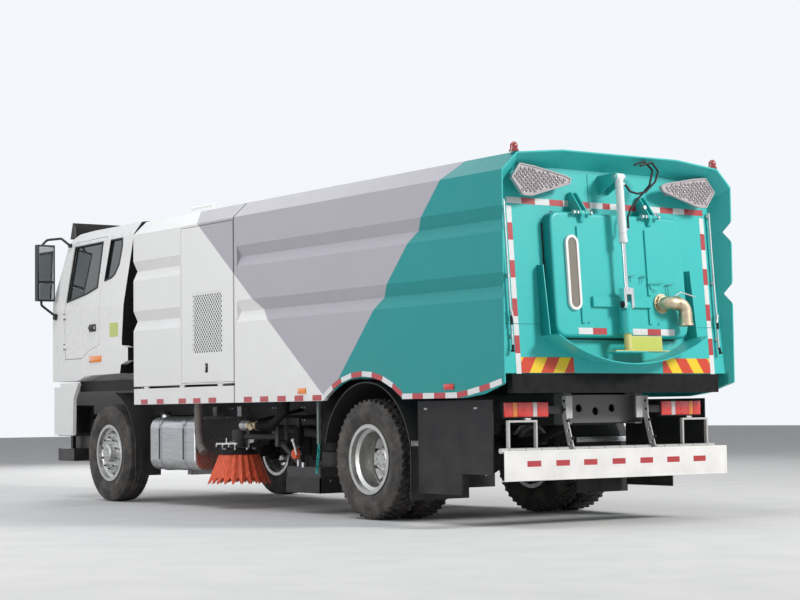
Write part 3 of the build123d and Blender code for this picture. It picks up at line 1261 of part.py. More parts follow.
LOCK_X = 1122.0
with BuildPart() as lock_rods:
    for s in sides.values():
        rod(tail_point(s * LOCK_X, 2600, 26), tail_point(s * LOCK_X, 1410, 26), 9)
        rod(tail_point(s * (LOCK_X - 12), 1650, 34), tail_point(s * (LOCK_X + 4), 1720, 34), 14)
        for z in (2560, 1980, 1500):
            tail_box(s * (LOCK_X - 18), s * (LOCK_X + 12), z, z + 24, SEAT_GAP, 22)

BEACON_X = 1085.0
with BuildPart() as beacons:
    for s in sides.values():
        rod((s * BEACON_X, 1940, CHAMFER_Z + 6), (s * BEACON_X, 1940, CHAMFER_Z + 20), 42)
        rod((s * BEACON_X, 1940, CHAMFER_Z + 20), (s * BEACON_X, 1940, CHAMFER_Z + 52), 34)
        with Locations((s * BEACON_X, sta(1940), CHAMFER_Z + 52)):
            Sphere(34)

# Arrow board outline as X and height
ARROW_OUTLINE = [(1104, 2760), (1016, 2874), (880, 2860), (545, 2800), (495, 2778), (515, 2740), (915, 2624), (1000, 2626)]
ARROW_OFF = 96.0
ARROW_T = 30.0
with BuildPart() as arrow_boards:
    for s in sides.values():
        with BuildSketch(tail_plane.offset(ARROW_OFF)) as board:
            with BuildLine():
                Polyline(*[(-s * x, (z - FLOOR_Z) / cos(TAIL_TILT)) for x, z in ARROW_OUTLINE], close=True)
            make_face()
        extrude(board.sketch, amount=ARROW_T)
        for x in (650, 950):
            rod(tail_point(s * x, 2740, SEAT_GAP), tail_point(s * x, 2740, ARROW_OFF + 2), 16)

# Side brushes on swing arms, hung from the frame
brush_arms = {}
brush_heads = {}
brushes = {}
REACH = ((BRUSH_X - ARM_X) ** 2 + (BRUSH_Y - ARM_Y) ** 2) ** 0.5


def arm_point(s, along, across, z):
    """Point on a brush arm: along it from its post, across it, and its height."""
    ux = (BRUSH_X - ARM_X) / REACH
    uy = (BRUSH_Y - ARM_Y) / REACH
    return (s * (ARM_X + along * ux - across * uy), ARM_Y + along * uy + across * ux, z)


def brush_outline(x, radius, depth):
    """Corners of a ring of bristle lobes, each outer corner followed by the notch behind it."""
    corners = []
    for k in range(2 * BRUSH_LOBES):
        r = radius - depth * (k % 2)
        angle = pi * k / BRUSH_LOBES
        corners.append((x + r * cos(angle), sta(BRUSH_Y) + r * sin(angle)))
    return corners


for side, s in sides.items():
    with BuildPart() as arm:
        rod((s * ARM_X, ARM_Y, ARM_LOW), (s * ARM_X, ARM_Y, ARM_HIGH), 48)
        outline = [
            (0, -44),
            (ARM_HINGE + 32, -44),
            (ARM_HINGE + 32, -34),
            (120, -34),
            (120, 34),
            (ARM_HINGE + 32, 34),
            (ARM_HINGE + 32, 44),
            (0, 44),
        ]
        with BuildSketch(Plane.XY.offset(ARM_Z - 32)) as fork:
            with BuildLine():
                corners = [arm_point(s, along, across, ARM_Z) for along, across in outline]
                Polyline(*[(x, sta(y)) for x, y, z in corners], close=True)
            make_face()
        extrude(fork.sketch, amount=64)
        rod(arm_point(s, ARM_HINGE, -50, ARM_Z), arm_point(s, ARM_HINGE, 50, ARM_Z), ARM_PIN_R)
        rod((s * ARM_X, ARM_Y, 500), (s * ARM_X, ARM_Y, 900), ARM_POST_R + PIN_CLEARANCE, mode=Mode.SUBTRACT)
    brush_arms[side] = arm
    with BuildPart() as head:
        rod(arm_point(s, ARM_HINGE, -33.7, ARM_Z), arm_point(s, ARM_HINGE, 33.7, ARM_Z), 30)
        rod(arm_point(s, ARM_HINGE, 0, ARM_Z), arm_point(s, REACH, 0, ARM_Z), 27)
        rod(arm_point(s, REACH, 0, 596), arm_point(s, REACH, 0, 770), 72)
        rod(arm_point(s, ARM_HINGE, -60, ARM_Z), arm_point(s, ARM_HINGE, 60, ARM_Z), ARM_PIN_R + PIN_CLEARANCE,
            mode=Mode.SUBTRACT)
        rod(arm_point(s, REACH, 0, 590), arm_point(s, REACH, 0, 700), BRUSH_SHAFT_R + PIN_CLEARANCE, mode=Mode.SUBTRACT)
    brush_heads[side] = head
    with BuildPart() as brush:
        for z, radius, depth in ((BRUSH_LOW, BRUSH_LOW_R, BRUSH_LOBE), (BRUSH_LOW + BRUSH_H, BRUSH_TOP_R, 12)):
            with BuildSketch(Plane.XY.offset(z)):
                with BuildLine():
                    Polyline(*brush_outline(s * BRUSH_X, radius, depth), close=True)
                make_face()
        loft(ruled=True)
        rod((s * BRUSH_X, BRUSH_Y, BRUSH_LOW + BRUSH_H), (s * BRUSH_X, BRUSH_Y, BRUSH_LOW + BRUSH_H + 40), BRUSH_TOP_R + 10)
        rod((s * BRUSH_X, BRUSH_Y, BRUSH_LOW + BRUSH_H), (s * BRUSH_X, BRUSH_Y, 690), BRUSH_SHAFT_R)
    brushes[side] = brush

# Suction nozzle across the truck on trailing arms
with BuildPart() as nozzle:
    block(-1000, 1000, -1640, -1060, 240, 430)
    block(-960, 960, -1600, -1100, 200, 400, mode=Mode.SUBTRACT)
    for x in (-NOZZLE_STUB_X, NOZZLE_STUB_X):
        rod((x, NOZZLE_STUB_Y, 425), (x, NOZZLE_STUB_Y, 560), 130)
        rod((x, NOZZLE_STUB_Y, 380), (x, NOZZLE_STUB_Y, 570), 120, mode=Mode.SUBTRACT)
    for x in (-NOZZLE_PIVOT_X, NOZZLE_PIVOT_X):
        rod((x, -1610, 415), (x, NOZZLE_PIVOT_Y, NOZZLE_PIVOT_Z), 24)
        rod((x - 40, NOZZLE_PIVOT_Y, NOZZLE_PIVOT_Z), (x + 40, NOZZLE_PIVOT_Y, NOZZLE_PIVOT_Z), 34)
        rod((x - 50, NOZZLE_PIVOT_Y, NOZZLE_PIVOT_Z), (x + 50, NOZZLE_PIVOT_Y, NOZZLE_PIVOT_Z),
            NOZZLE_PIN_R + PIN_CLEARANCE, mode=Mode.SUBTRACT)

nodes = {
    "frame": frame,
    "engine": engine,
    "front_axle": front_axle,
    "rear_axle": rear_axle,
    "springs": springs,
    "fuel_tank": fuel_tank,
    "side_boxes": side_boxes,
    "air_reservoirs": air_reservoirs,
    "air_intake": air_intake,
    "front_mudguards": front_mudguards,
    "rear_mudguards": rear_mudguards,
    "side_panels": side_panels,
    "rear_bumper": rear_bumper,
    "lamps": lamps,
    "front_bumper": front_bumper,
    "cab_shell": cab_shell,
    "cab_glass": cab_glass,
    "cab_interior": cab_interior,
    "cab_trim": cab_trim,
    "mirrors": mirrors,
    "housing": housing,
    "aux_engine": aux_engine,
    "tank": tank,
    "underframe": underframe,
    "tip_barrels": tip_barrels,
    "tip_rods": tip_rods,
    "tail_door": tail_door,
    "door_barrel": door_barrel,
    "door_rod": door_rod,
    "sight_glass": sight_glass,
    "drain_elbow": drain_elbow,
    "lock_rods": lock_rods,
    "beacons": beacons,
    "arrow_boards": arrow_boards,
    "pipes": pipes,
    "nozzle": nozzle,
}
for side in sides:
    nodes["tyre_front_" + side] = front_tyres[side]
    nodes["wheel_front_" + side] = front_wheels[side]
    nodes["knuckle_" + side] = knuckles[side]
    nodes["tyres_rear_" + side] = rear_tyres[side]
    nodes["wheel_rear_" + side] = rear_wheels[side]
    nodes["cab_door_" + side] = cab_doors[side]
    nodes["door_glass_" + side] = door_glass[side]
    nodes["housing_door_" + side] = housing_doors[side]
    nodes["skirt_flap_" + side] = skirt_flaps[side]
    nodes["brush_arm_" + side] = brush_arms[side]
    nodes["brush_head_" + side] = brush_heads[side]
    nodes["brush_" + side] = brushes[side]

print(len(nodes), "nodes")
for name, built in nodes.items():
    built.part.label = name
    export_step(built.part, "parts/" + name + ".step")
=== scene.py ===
import math

import bmesh
import bpy
from mathutils import Matrix, Vector


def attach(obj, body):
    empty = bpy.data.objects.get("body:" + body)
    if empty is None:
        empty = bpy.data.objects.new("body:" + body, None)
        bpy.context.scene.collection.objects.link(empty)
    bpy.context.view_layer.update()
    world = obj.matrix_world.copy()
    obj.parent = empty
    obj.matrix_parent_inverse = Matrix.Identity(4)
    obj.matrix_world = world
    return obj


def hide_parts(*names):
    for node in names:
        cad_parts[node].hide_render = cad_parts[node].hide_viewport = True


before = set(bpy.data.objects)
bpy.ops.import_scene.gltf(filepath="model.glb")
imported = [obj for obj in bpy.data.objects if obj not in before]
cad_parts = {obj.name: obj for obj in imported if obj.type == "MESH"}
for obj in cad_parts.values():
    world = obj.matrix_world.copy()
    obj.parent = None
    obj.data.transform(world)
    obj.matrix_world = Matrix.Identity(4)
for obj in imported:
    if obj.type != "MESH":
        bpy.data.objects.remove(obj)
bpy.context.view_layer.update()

# Y of the rear axle in the row frame. Stations along the truck are counted from it.
rear_axle_y = 2.1468
wheelbase = 5.0
truck_sides = {"left": 1, "right": -1}

# Finishes


def start_finish(name, colour, roughness, others=None):
    """A material with its node tree and shader. others holds more inputs of the shader by name."""
    finish = bpy.data.materials.new(name)
    finish.use_nodes = True
    shader = finish.node_tree.nodes["Principled BSDF"]
    for key, value in {"Base Color": (*colour, 1), "Roughness": roughness, **(others or {})}.items():
        shader.inputs[key].default_value = value
    return finish, finish.node_tree, shader


def feed(shader, key, value):
    """Links a value to an input of the shader."""
    shader.id_data.links.new(value, shader.inputs[key])


def object_coordinates(tree):
    return tree.nodes.new("ShaderNodeTexCoord").outputs["Object"]


def split_axes(tree, kind="Object"):
    """X, Y and Z of the object's own coordinates, or of the surface's normal, as separate values."""
    axes = tree.nodes.new("ShaderNodeSeparateXYZ")
    tree.links.new(tree.nodes.new("ShaderNodeTexCoord").outputs[kind], axes.inputs["Vector"])
    return axes.outputs


def texture(tree, kind, scale):
    """A texture node on the object's own coordinates."""
    node = tree.nodes.new(f"ShaderNodeTex{kind}")
    node.inputs["Scale"].default_value = scale
    tree.links.new(object_coordinates(tree), node.inputs["Vector"])
    return node


def noise(tree, scale, detail=4.0, stretch=(1, 1, 1)):
    """Noise over the surface, drawn out along an axis where stretch is under 1."""
    mapping = tree.nodes.new("ShaderNodeMapping")
    mapping.inputs["Scale"].default_value = stretch
    texture = tree.nodes.new("ShaderNodeTexNoise")
    texture.inputs["Scale"].default_value = scale
    texture.inputs["Detail"].default_value = detail
    tree.links.new(object_coordinates(tree), mapping.inputs["Vector"])
    tree.links.new(mapping.outputs["Vector"], texture.inputs["Vector"])
    return texture.outputs["Fac"]


def ramp(tree, value, low_at, high_at, low_out=0.0, high_out=1.0):
    """A value turned into another one between two limits."""
    node = tree.nodes.new("ShaderNodeMapRange")
    node.inputs["From Min"].default_value = low_at
    node.inputs["From Max"].default_value = high_at
    node.inputs["To Min"].default_value = low_out
    node.inputs["To Max"].default_value = high_out
    tree.links.new(value, node.inputs["Value"])
    return node.outputs["Result"]


def mix_colour(tree, amount, first, second):
    """Two colours mixed by an amount. Each colour is a tuple or another node's output."""
    node = tree.nodes.new("ShaderNodeMix")
    node.data_type = "RGBA"
    tree.links.new(amount, node.inputs["Factor"])
    for socket, colour in ((node.inputs["A"], first), (node.inputs["B"], second)):
        if isinstance(colour, tuple):
            socket.default_value = (*colour, 1)
        else:
            tree.links.new(colour, socket)
    return node.outputs["Result"]


def math_node(tree, operation, first, second=0.0):
    node = tree.nodes.new("ShaderNodeMath")
    node.operation = operation
    for socket, value in ((node.inputs[0], first), (node.inputs[1], second)):
        if isinstance(value, (int, float)):
            socket.default_value = value
        else:
            tree.links.new(value, socket)
    return node.outputs[0]


def bump(tree, shader, height, strength, distance):
    node = tree.nodes.new("ShaderNodeBump")
    node.inputs["Strength"].default_value = strength
    node.inputs["Distance"].default_value = distance
    tree.links.new(height, node.inputs["Height"])
    feed(shader, "Normal", node.outputs["Normal"])


def uneven_gloss(tree, shader, scale, smoothest, roughest):
    """Roughness that wanders between two values in patches."""
    feed(shader, "Roughness", ramp(tree, noise(tree, scale), 0.3, 0.7, smoothest, roughest))


def road_dust(tree, colour, top, most, dust=(0.30, 0.27, 0.23)):
    """Colour that turns dusty towards the road, in patches."""
    axes = split_axes(tree)
    by_height = ramp(tree, axes["Z"], 0.1, top, most, 0.0)
    patches = ramp(tree, noise(tree, 5.0, 6.0), 0.35, 0.7)
    return mix_colour(tree, math_node(tree, "MULTIPLY", by_height, patches), colour, dust)


def gloss_enamel(name, colour, roughness, dust_top, most):
    """Sprayed enamel with a faint peel, cloudy gloss and road dust low down."""
    coat = {"Coat Weight": 0.15, "Coat Roughness": 0.15, "Specular IOR Level": 0.35}
    finish, tree, shader = start_finish(name, colour, roughness, coat)
    cloud = noise(tree, 1.7, 3.0)
    shade = tuple(c * 0.97 for c in colour)
    mixed = mix_colour(tree, ramp(tree, cloud, 0.3, 0.7), colour, shade)
    feed(shader, "Base Color", road_dust(tree, mixed, dust_top, most))
    uneven_gloss(tree, shader, 9.0, roughness, roughness + 0.08)
    bump(tree, shader, noise(tree, 160.0, 2.0), 0.015, 0.001)
    return finish


WHITE = (0.84, 0.84, 0.83)
BAND_GREY = (0.44, 0.425, 0.47)
TURQUOISE = (0.045, 0.51, 0.495)
# A darker copy of the turquoise for the flanks: painted shade, the sides standing in less light than the tail
SHADED_FLANK_TURQUOISE = (0.010, 0.285, 0.285)


def livery_enamel(name):
    """White nose, grey wedge and turquoise tail, parted by two slanting lines along the truck, with a darker
    turquoise on the flanks as painted shade.
    """
    coat = {"Coat Weight": 0.08, "Coat Roughness": 0.15, "Specular IOR Level": 0.3}
    finish, tree, shader = start_finish(name, WHITE, 0.27, coat)
    facing = split_axes(tree, "Normal")
    axes = split_axes(tree)
    # Surfaces facing outward on the flanks take the darker turquoise: painted shade
    outward = math_node(tree, "MULTIPLY", facing["X"], axes["X"])
    shaded_flank = math_node(tree, "GREATER_THAN", outward, 0.5)
    turquoise = mix_colour(tree, shaded_flank, TURQUOISE, SHADED_FLANK_TURQUOISE)
    station = math_node(tree, "SUBTRACT", axes["Y"], rear_axle_y)
    colour = WHITE
    # Each line by a point of it, station and height, its slope along the truck, and the colour behind it
    for y, z, slope, band in ((-2.98, 2.88, -1.317, BAND_GREY), (1.272, 2.916, 0.968, turquoise)):
        drop = math_node(tree, "SUBTRACT", axes["Z"], z)
        line = math_node(tree, "MULTIPLY", drop, slope)
        line = math_node(tree, "ADD", line, y)
        behind = math_node(tree, "GREATER_THAN", math_node(tree, "SUBTRACT", station, line), 0.0)
        colour = mix_colour(tree, behind, colour, band)
    cloud = ramp(tree, noise(tree, 1.3, 3.0), 0.25, 0.75, 0.0, 0.04)
    colour = mix_colour(tree, cloud, colour, (0.2, 0.2, 0.2))
    feed(shader, "Base Color", road_dust(tree, colour, 1.5, 0.18))
    uneven_gloss(tree, shader, 7.0, 0.30, 0.38)
    bump(tree, shader, noise(tree, 150.0, 2.0), 0.015, 0.001)
    return finish


def split_enamel(name, colour, other, station, roughness=0.34):
    """Enamel in one colour behind a station, and in another one before it."""
    finish, tree, shader = start_finish(name, colour, roughness)
    behind = math_node(tree, "GREATER_THAN", split_axes(tree)["Y"], rear_axle_y + station)
    mixed = mix_colour(tree, behind, other, colour)
    feed(shader, "Base Color", road_dust(tree, mixed, 1.0, 0.3, (0.24, 0.22, 0.2)))
    uneven_gloss(tree, shader, 11.0, roughness - 0.08, roughness + 0.1)
    bump(tree, shader, noise(tree, 120.0, 2.0), 0.05, 0.002)
    return finish


def cab_enamel(name):
    """White enamel, with the back wall of the cab painted near black as painted shade in its gap before the
    housing.
    """
    finish, tree, shader = start_finish(name, WHITE, 0.3, {"Specular IOR Level": 0.3})
    facing = split_axes(tree, "Normal")
    # Faces turned to the rear, the cab's back wall, are painted near black: painted shade in the gap before the
    # housing
    shaded_back_wall = math_node(tree, "GREATER_THAN", facing["Y"], 0.85)
    mixed = mix_colour(tree, shaded_back_wall, WHITE, (0.015, 0.015, 0.016))
    feed(shader, "Base Color", road_dust(tree, mixed, 1.5, 0.12))
    uneven_gloss(tree, shader, 6.0, 0.26, 0.34)
    bump(tree, shader, noise(tree, 150.0, 2.0), 0.015, 0.001)
    return finish


# X inside the front bumper's cheeks, the station where its steps begin, and the height under which it is black
cheek_x = 1.1735
step_station = -6.38
black_top = 0.705


def bumper_enamel(name):
    """White front bumper whose steps, inside its cheeks and under it, are black."""
    finish, tree, shader = start_finish(name, WHITE, 0.32)
    axes = split_axes(tree)
    inside = math_node(tree, "LESS_THAN", math_node(tree, "ABSOLUTE", axes["X"]), cheek_x)
    behind = math_node(tree, "GREATER_THAN", axes["Y"], rear_axle_y + step_station)
    inside = math_node(tree, "MULTIPLY", inside, behind)
    low = math_node(tree, "LESS_THAN", axes["Z"], black_top)
    mixed = mix_colour(tree, math_node(tree, "MAXIMUM", inside, low), WHITE, (0.014, 0.014, 0.015))
    feed(shader, "Base Color", road_dust(tree, mixed, 1.2, 0.15))
    uneven_gloss(tree, shader, 6.0, 0.28, 0.38)
    bump(tree, shader, noise(tree, 150.0, 2.0), 0.015, 0.001)
    return finish


def chassis_black(name, colour=(0.010, 0.010, 0.011), roughness=0.6):
    finish, tree, shader = start_finish(name, colour, roughness, {"Specular IOR Level": 0.15})
    feed(shader, "Base Color", road_dust(tree, colour, 1.1, 0.4, (0.10, 0.088, 0.075)))
    uneven_gloss(tree, shader, 12.0, roughness - 0.1, roughness + 0.2)
    bump(tree, shader, noise(tree, 90.0, 3.0), 0.12, 0.003)
    return finish


def bare_metal(name, colour, roughness, drawn=(1, 1, 1), scale=40.0):
    """Metal with fine marks, drawn out along the axis whose stretch is under 1."""
    finish, tree, shader = start_finish(name, colour, roughness, {"Metallic": 1.0})
    marks = noise(tree, scale, 5.0, drawn)
    dull = tuple(c * 0.72 for c in colour)
    mixed = mix_colour(tree, ramp(tree, marks, 0.35, 0.75), colour, dull)
    feed(shader, "Base Color", mixed)
    feed(shader, "Roughness", ramp(tree, marks, 0.3, 0.7, max(roughness - 0.08, 0.04), roughness + 0.12))
    bump(tree, shader, marks, 0.05, 0.001)
    return finish


def moulded_plastic(name, colour, roughness):
    finish, tree, shader = start_finish(name, colour, roughness, {"Specular IOR Level": 0.3})
    grain = noise(tree, 260.0, 2.0)
    feed(shader, "Base Color", road_dust(tree, colour, 1.2, 0.25, (0.14, 0.125, 0.11)))
    feed(shader, "Roughness", ramp(tree, grain, 0.3, 0.7, roughness - 0.08, roughness + 0.1))
    bump(tree, shader, grain, 0.25, 0.002)
    return finish


def window_glass(name, tint=(0.03, 0.045, 0.045)):
    """Tinted window glass with a faint film of dust."""
    clear = {"Transmission Weight": 0.55, "IOR": 1.45, "Coat Weight": 0.6}
    finish, tree, shader = start_finish(name, tint, 0.05, clear)
    film = ramp(tree, noise(tree, 4.0, 5.0), 0.4, 0.8, 0.03, 0.16)
    feed(shader, "Roughness", film)
    dust = ramp(tree, noise(tree, 3.0), 0.4, 0.9)
    feed(shader, "Base Color", mix_colour(tree, dust, tint, (0.09, 0.1, 0.1)))
    return finish


def tyre_rubber(name, colour):
    finish, tree, shader = start_finish(name, colour, 0.75)
    dirt = ramp(tree, noise(tree, 8.0, 6.0), 0.4, 0.75)
    feed(shader, "Base Color", mix_colour(tree, dirt, colour, (0.105, 0.092, 0.08)))
    uneven_gloss(tree, shader, 30.0, 0.62, 0.88)
    bump(tree, shader, noise(tree, 120.0, 3.0), 0.2, 0.002)
    return finish


def lamp_lens(name, colour, band=90.0):
    """Ribbed lens plastic over its reflector."""
    finish, tree, shader = start_finish(name, colour, 0.12, {"Coat Weight": 0.8, "Coat Roughness": 0.05})
    wave = texture(tree, "Wave", band)
    wave.bands_direction = "X"
    wave.inputs["Distortion"].default_value = 0.4
    deep = tuple(c * 0.7 for c in colour)
    feed(shader, "Base Color", mix_colour(tree, wave.outputs["Fac"], colour, deep))
    bump(tree, shader, wave.outputs["Fac"], 0.3, 0.002)
    return finish


def woven_seat(name, colour):
    finish, tree, shader = start_finish(name, colour, 0.85, {"Sheen Weight": 0.3})
    weave = texture(tree, "Checker", 420.0)
    lighter = tuple(min(1.0, c * 1.5) for c in colour)
    cloud = ramp(tree, noise(tree, 20.0), 0.3, 0.7)
    feed(shader, "Base Color", mix_colour(tree, cloud, colour, lighter))
    bump(tree, shader, weave.outputs["Fac"], 0.3, 0.001)
    return finish


def brush_bristle(name, colour):
    """Stiff wire, drawn out down the brush."""
    finish, tree, shader = start_finish(name, colour, 0.5)
    strands = noise(tree, 60.0, 4.0, (1, 1, 0.08))
    dark = tuple(c * 0.6 for c in colour)
    feed(shader, "Base Color", mix_colour(tree, ramp(tree, strands, 0.35, 0.65), colour, dark))
    bump(tree, shader, strands, 0.5, 0.004)
    return finish


livery = livery_enamel("livery_enamel")
cab_white = gloss_enamel("cab_white", WHITE, 0.24, 1.5, 0.18)
bumper_white = split_enamel("bumper_white", (0.86, 0.85, 0.84), (0.52, 0.52, 0.51), 1.857)
step_white = bumper_enamel("step_white")
cab_body_white = cab_enamel("cab_body_white")
tail_plate = split_enamel("tail_plate", (0.15, 0.15, 0.155), (0.022, 0.022, 0.024), 1.59, 0.5)
ram_white = gloss_enamel("ram_white", (0.80, 0.81, 0.82), 0.3, 0.4, 0.05)
yellow_zinc = gloss_enamel("yellow_zinc", (0.66, 0.62, 0.24), 0.35, 0.4, 0.05)
seal_rubber = gloss_enamel("seal_rubber", (0.02, 0.03, 0.03), 0.6, 0.4, 0.05)
frame_black = chassis_black("frame_black")
axle_black = chassis_black("axle_black", (0.03, 0.03, 0.032), 0.6)
engine_grey = chassis_black("engine_grey", (0.09, 0.1, 0.1), 0.6)
guard_plastic = moulded_plastic("guard_plastic", (0.02, 0.02, 0.021), 0.55)
trim_plastic = moulded_plastic("trim_plastic", (0.028, 0.028, 0.03), 0.4)
panel_plastic = moulded_plastic("panel_plastic", (0.017, 0.017, 0.019), 0.62)
tinted_glass = window_glass("tinted_glass")
tyre_black = tyre_rubber("tyre_black", (0.03, 0.028, 0.027))
wheel_silver = bare_metal("wheel_silver", (0.62, 0.62, 0.60), 0.34, scale=25.0)
ram_chrome = bare_metal("ram_chrome", (0.78, 0.79, 0.8), 0.1, (1, 1, 0.1))
zinc_plate = bare_metal("zinc_plate", (0.58, 0.59, 0.6), 0.42)
tank_aluminium = bare_metal("tank_aluminium", (0.60, 0.61, 0.62), 0.3, (1, 0.05, 1), 60.0)
elbow_brass = bare_metal("elbow_brass", (0.66, 0.56, 0.40), 0.42)
red_lens = lamp_lens("red_lens", (0.86, 0.03, 0.02))
amber_lens = lamp_lens("amber_lens", (0.95, 0.27, 0.02), 60.0)
beacon_red = lamp_lens("beacon_red", (0.36, 0.02, 0.02), 40.0)
seat_cloth = woven_seat("seat_cloth", (0.045, 0.048, 0.055))
brush_orange = brush_bristle("brush_orange", (0.92, 0.13, 0.05))
nozzle_grey = chassis_black("nozzle_grey", (0.07, 0.072, 0.075), 0.55)
board_silver = moulded_plastic("board_silver", (0.46, 0.42, 0.44), 0.34)
ram_teal = gloss_enamel("ram_teal", TURQUOISE, 0.3, 0.4, 0.1)
sight_pane = gloss_enamel("sight_pane", (0.24, 0.215, 0.18), 0.14, 0.4, 0.05)

# Each finish with the nodes that carry it, first the single ones and then those that each side has
node_finishes = {}
for finish, names in (
    (tail_plate, "frame"),
    (engine_grey, "engine aux_engine"),
    (axle_black, "front_axle springs rear_axle air_reservoirs"),
    (tank_aluminium, "fuel_tank"),
    (panel_plastic, "side_boxes side_panels"),
    (guard_plastic, "air_intake front_mudguards rear_mudguards pipes"),
    (bumper_white, "rear_bumper"),
    (trim_plastic, "lamps cab_trim mirrors"),
    (step_white, "front_bumper"),
    (cab_body_white, "cab_shell"),
    (tinted_glass, "cab_glass"),
    (seat_cloth, "cab_interior"),
    (livery, "housing tank tail_door"),
    (frame_black, "underframe tip_barrels"),
    (ram_chrome, "tip_rods door_rod"),
    (ram_white, "door_barrel"),
    (sight_pane, "sight_glass"),
    (elbow_brass, "drain_elbow"),
    (zinc_plate, "lock_rods"),
    (beacon_red, "beacons"),
    (board_silver, "arrow_boards"),
    (nozzle_grey, "nozzle"),
):
    node_finishes.update((name, finish) for name in names.split())
for finish, names in (
    (tyre_black, "tyre_front tyres_rear"),
    (wheel_silver, "wheel_front wheel_rear"),
    (axle_black, "knuckle"),
    (cab_white, "cab_door"),
    (tinted_glass, "door_glass"),
    (livery, "housing_door skirt_flap"),
    (frame_black, "brush_arm"),
    (nozzle_grey, "brush_head"),
    (brush_orange, "brush"),
):
    node_finishes.update((f"{name}_{side}", finish) for name in names.split() for side in truck_sides)
for node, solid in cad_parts.items():
    solid.data.materials.clear()
    solid.data.materials.append(node_finishes[node])

# Shared shape tools


def settle(shape, name, body, finishes, smooth_angle=None):
    """Turns a finished shape into a piece that rides on a body."""
    bmesh.ops.recalc_face_normals(shape, faces=shape.faces)
    mesh = bpy.data.meshes.new(name)
    shape.to_mesh(mesh)
    shape.free()
    for finish in finishes:
        mesh.materials.append(finish)
    if smooth_angle is not None:
        mesh.shade_smooth()
        mesh.set_sharp_from_angle(angle=math.radians(smooth_angle))
    piece = bpy.data.objects.new(name, mesh)
    bpy.context.scene.collection.objects.link(piece)
    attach(piece, body)
    return piece


def at(x, station, z):
    """Point in the row frame from a station along the truck."""
    return Vector((x, rear_axle_y + station, z))


def on_side(s):
    """Place for points by X, station and height, mirrored where s is -1."""
    return lambda x, station, z: at(s * x, station, z)


def paint(verts, finish):
    """Gives the faces at these points one of the piece's finishes."""
    for face in {face for vert in verts for face in vert.link_faces}:
        face.material_index = finish


def add_block(shape, size, middle, turn=None, finish=0):
    """A box of a size about its middle."""
    made = bmesh.ops.create_cube(shape, size=1.0)["verts"]
    bmesh.ops.scale(shape, vec=size, verts=made)
    if turn is not None:
        bmesh.ops.rotate(shape, cent=(0, 0, 0), matrix=turn, verts=made)
    bmesh.ops.translate(shape, vec=middle, verts=made)
    paint(made, finish)
    return made


def add_box(shape, corner, opposite, finish=0, bevel=0.0):
    """A box between two corners, with rounded edges where it has a bevel."""
    size = [abs(c) for c in opposite - corner]
    made = add_block(shape, size, (corner + opposite) / 2, finish=finish)
    if bevel:
        edges = {edge for vert in made for edge in vert.link_edges}
        bmesh.ops.bevel(
            shape, geom=list(edges), offset=bevel, offset_type="OFFSET", segments=2, profile=0.5, affect="EDGES",
            material=-1,
        )


def lay_between(shape, made, start, end):
    """Turns and moves what was made along Z about the origin, to lie between two points."""
    turn = (end - start).to_track_quat("Z", "Y").to_matrix()
    bmesh.ops.rotate(shape, cent=(0, 0, 0), matrix=turn, verts=made)
    bmesh.ops.translate(shape, vec=(start + end) / 2, verts=made)


def add_rod(shape, start, end, radius, finish=0, sides=16, tip=None):
    """A round bar from one point to another, or a cone where the tip has its own radius."""
    made = bmesh.ops.create_cone(
        shape, cap_ends=True, segments=sides, radius1=radius, radius2=radius if tip is None else tip,
        depth=(end - start).length,
    )["verts"]
    lay_between(shape, made, start, end)
    paint(made, finish)
    return made


def spin_all_round(shape, section, closed, centre, axis, steps):
    """A row of points spun all round an axis."""
    verts = [shape.verts.new(point) for point in section]
    edges = [shape.edges.new(pair) for pair in zip(verts, verts[1:] + verts[:1] if closed else verts[1:])]
    bmesh.ops.spin(
        shape, geom=verts + edges, cent=centre, axis=axis, angle=math.tau, steps=steps, use_merge=True,
        use_duplicate=False,
    )


def ring_of(shape, made, centre, count, axis=(1, 0, 0)):
    """Copies of what was just made, evenly round an axis."""
    geometry = set(made)
    for vert in made:
        geometry.update(vert.link_edges)
        geometry.update(vert.link_faces)
    bmesh.ops.spin(
        shape, geom=list(geometry), cent=centre, axis=axis, angle=math.tau * (count - 1) / count, steps=count - 1,
        use_duplicate=True,
    )


def add_collar(shape, start, end, outer, inner, finish=0, sides=32):
    """A short tube between two points."""
    half = (end - start).length / 2
    standing = set(shape.verts)
    section = ((outer, 0, -half), (outer, 0, half), (inner, 0, half), (inner, 0, -half))
    spin_all_round(shape, section, True, (0, 0, 0), (0, 0, 1), sides)
    made = [vert for vert in shape.verts if vert not in standing]
    lay_between(shape, made, start, end)
    paint(made, finish)


def add_ball(shape, middle, radius, finish, segments, rings):
    ball = bmesh.ops.create_uvsphere(shape, u_segments=segments, v_segments=rings, radius=radius)["verts"]
    bmesh.ops.translate(shape, vec=middle, verts=ball)
    paint(ball, finish)


def add_bent_rod(shape, place, points, radius, finish=0, sides=10):
    """A round bar through a row of points, with a ball at each turn."""
    spots = [place(*point) for point in points]
    for first, second in zip(spots, spots[1:]):
        add_rod(shape, first, second, radius, finish, sides)
    for spot in spots[1:-1]:
        add_ball(shape, spot, radius, finish, sides, 6)


def add_each(add, shape, place, rows):
    """Rods, collars or boxes from rows of two points for place and what the tool takes after them."""
    for first, second, *rest in rows:
        add(shape, place(*first), place(*second), *rest)


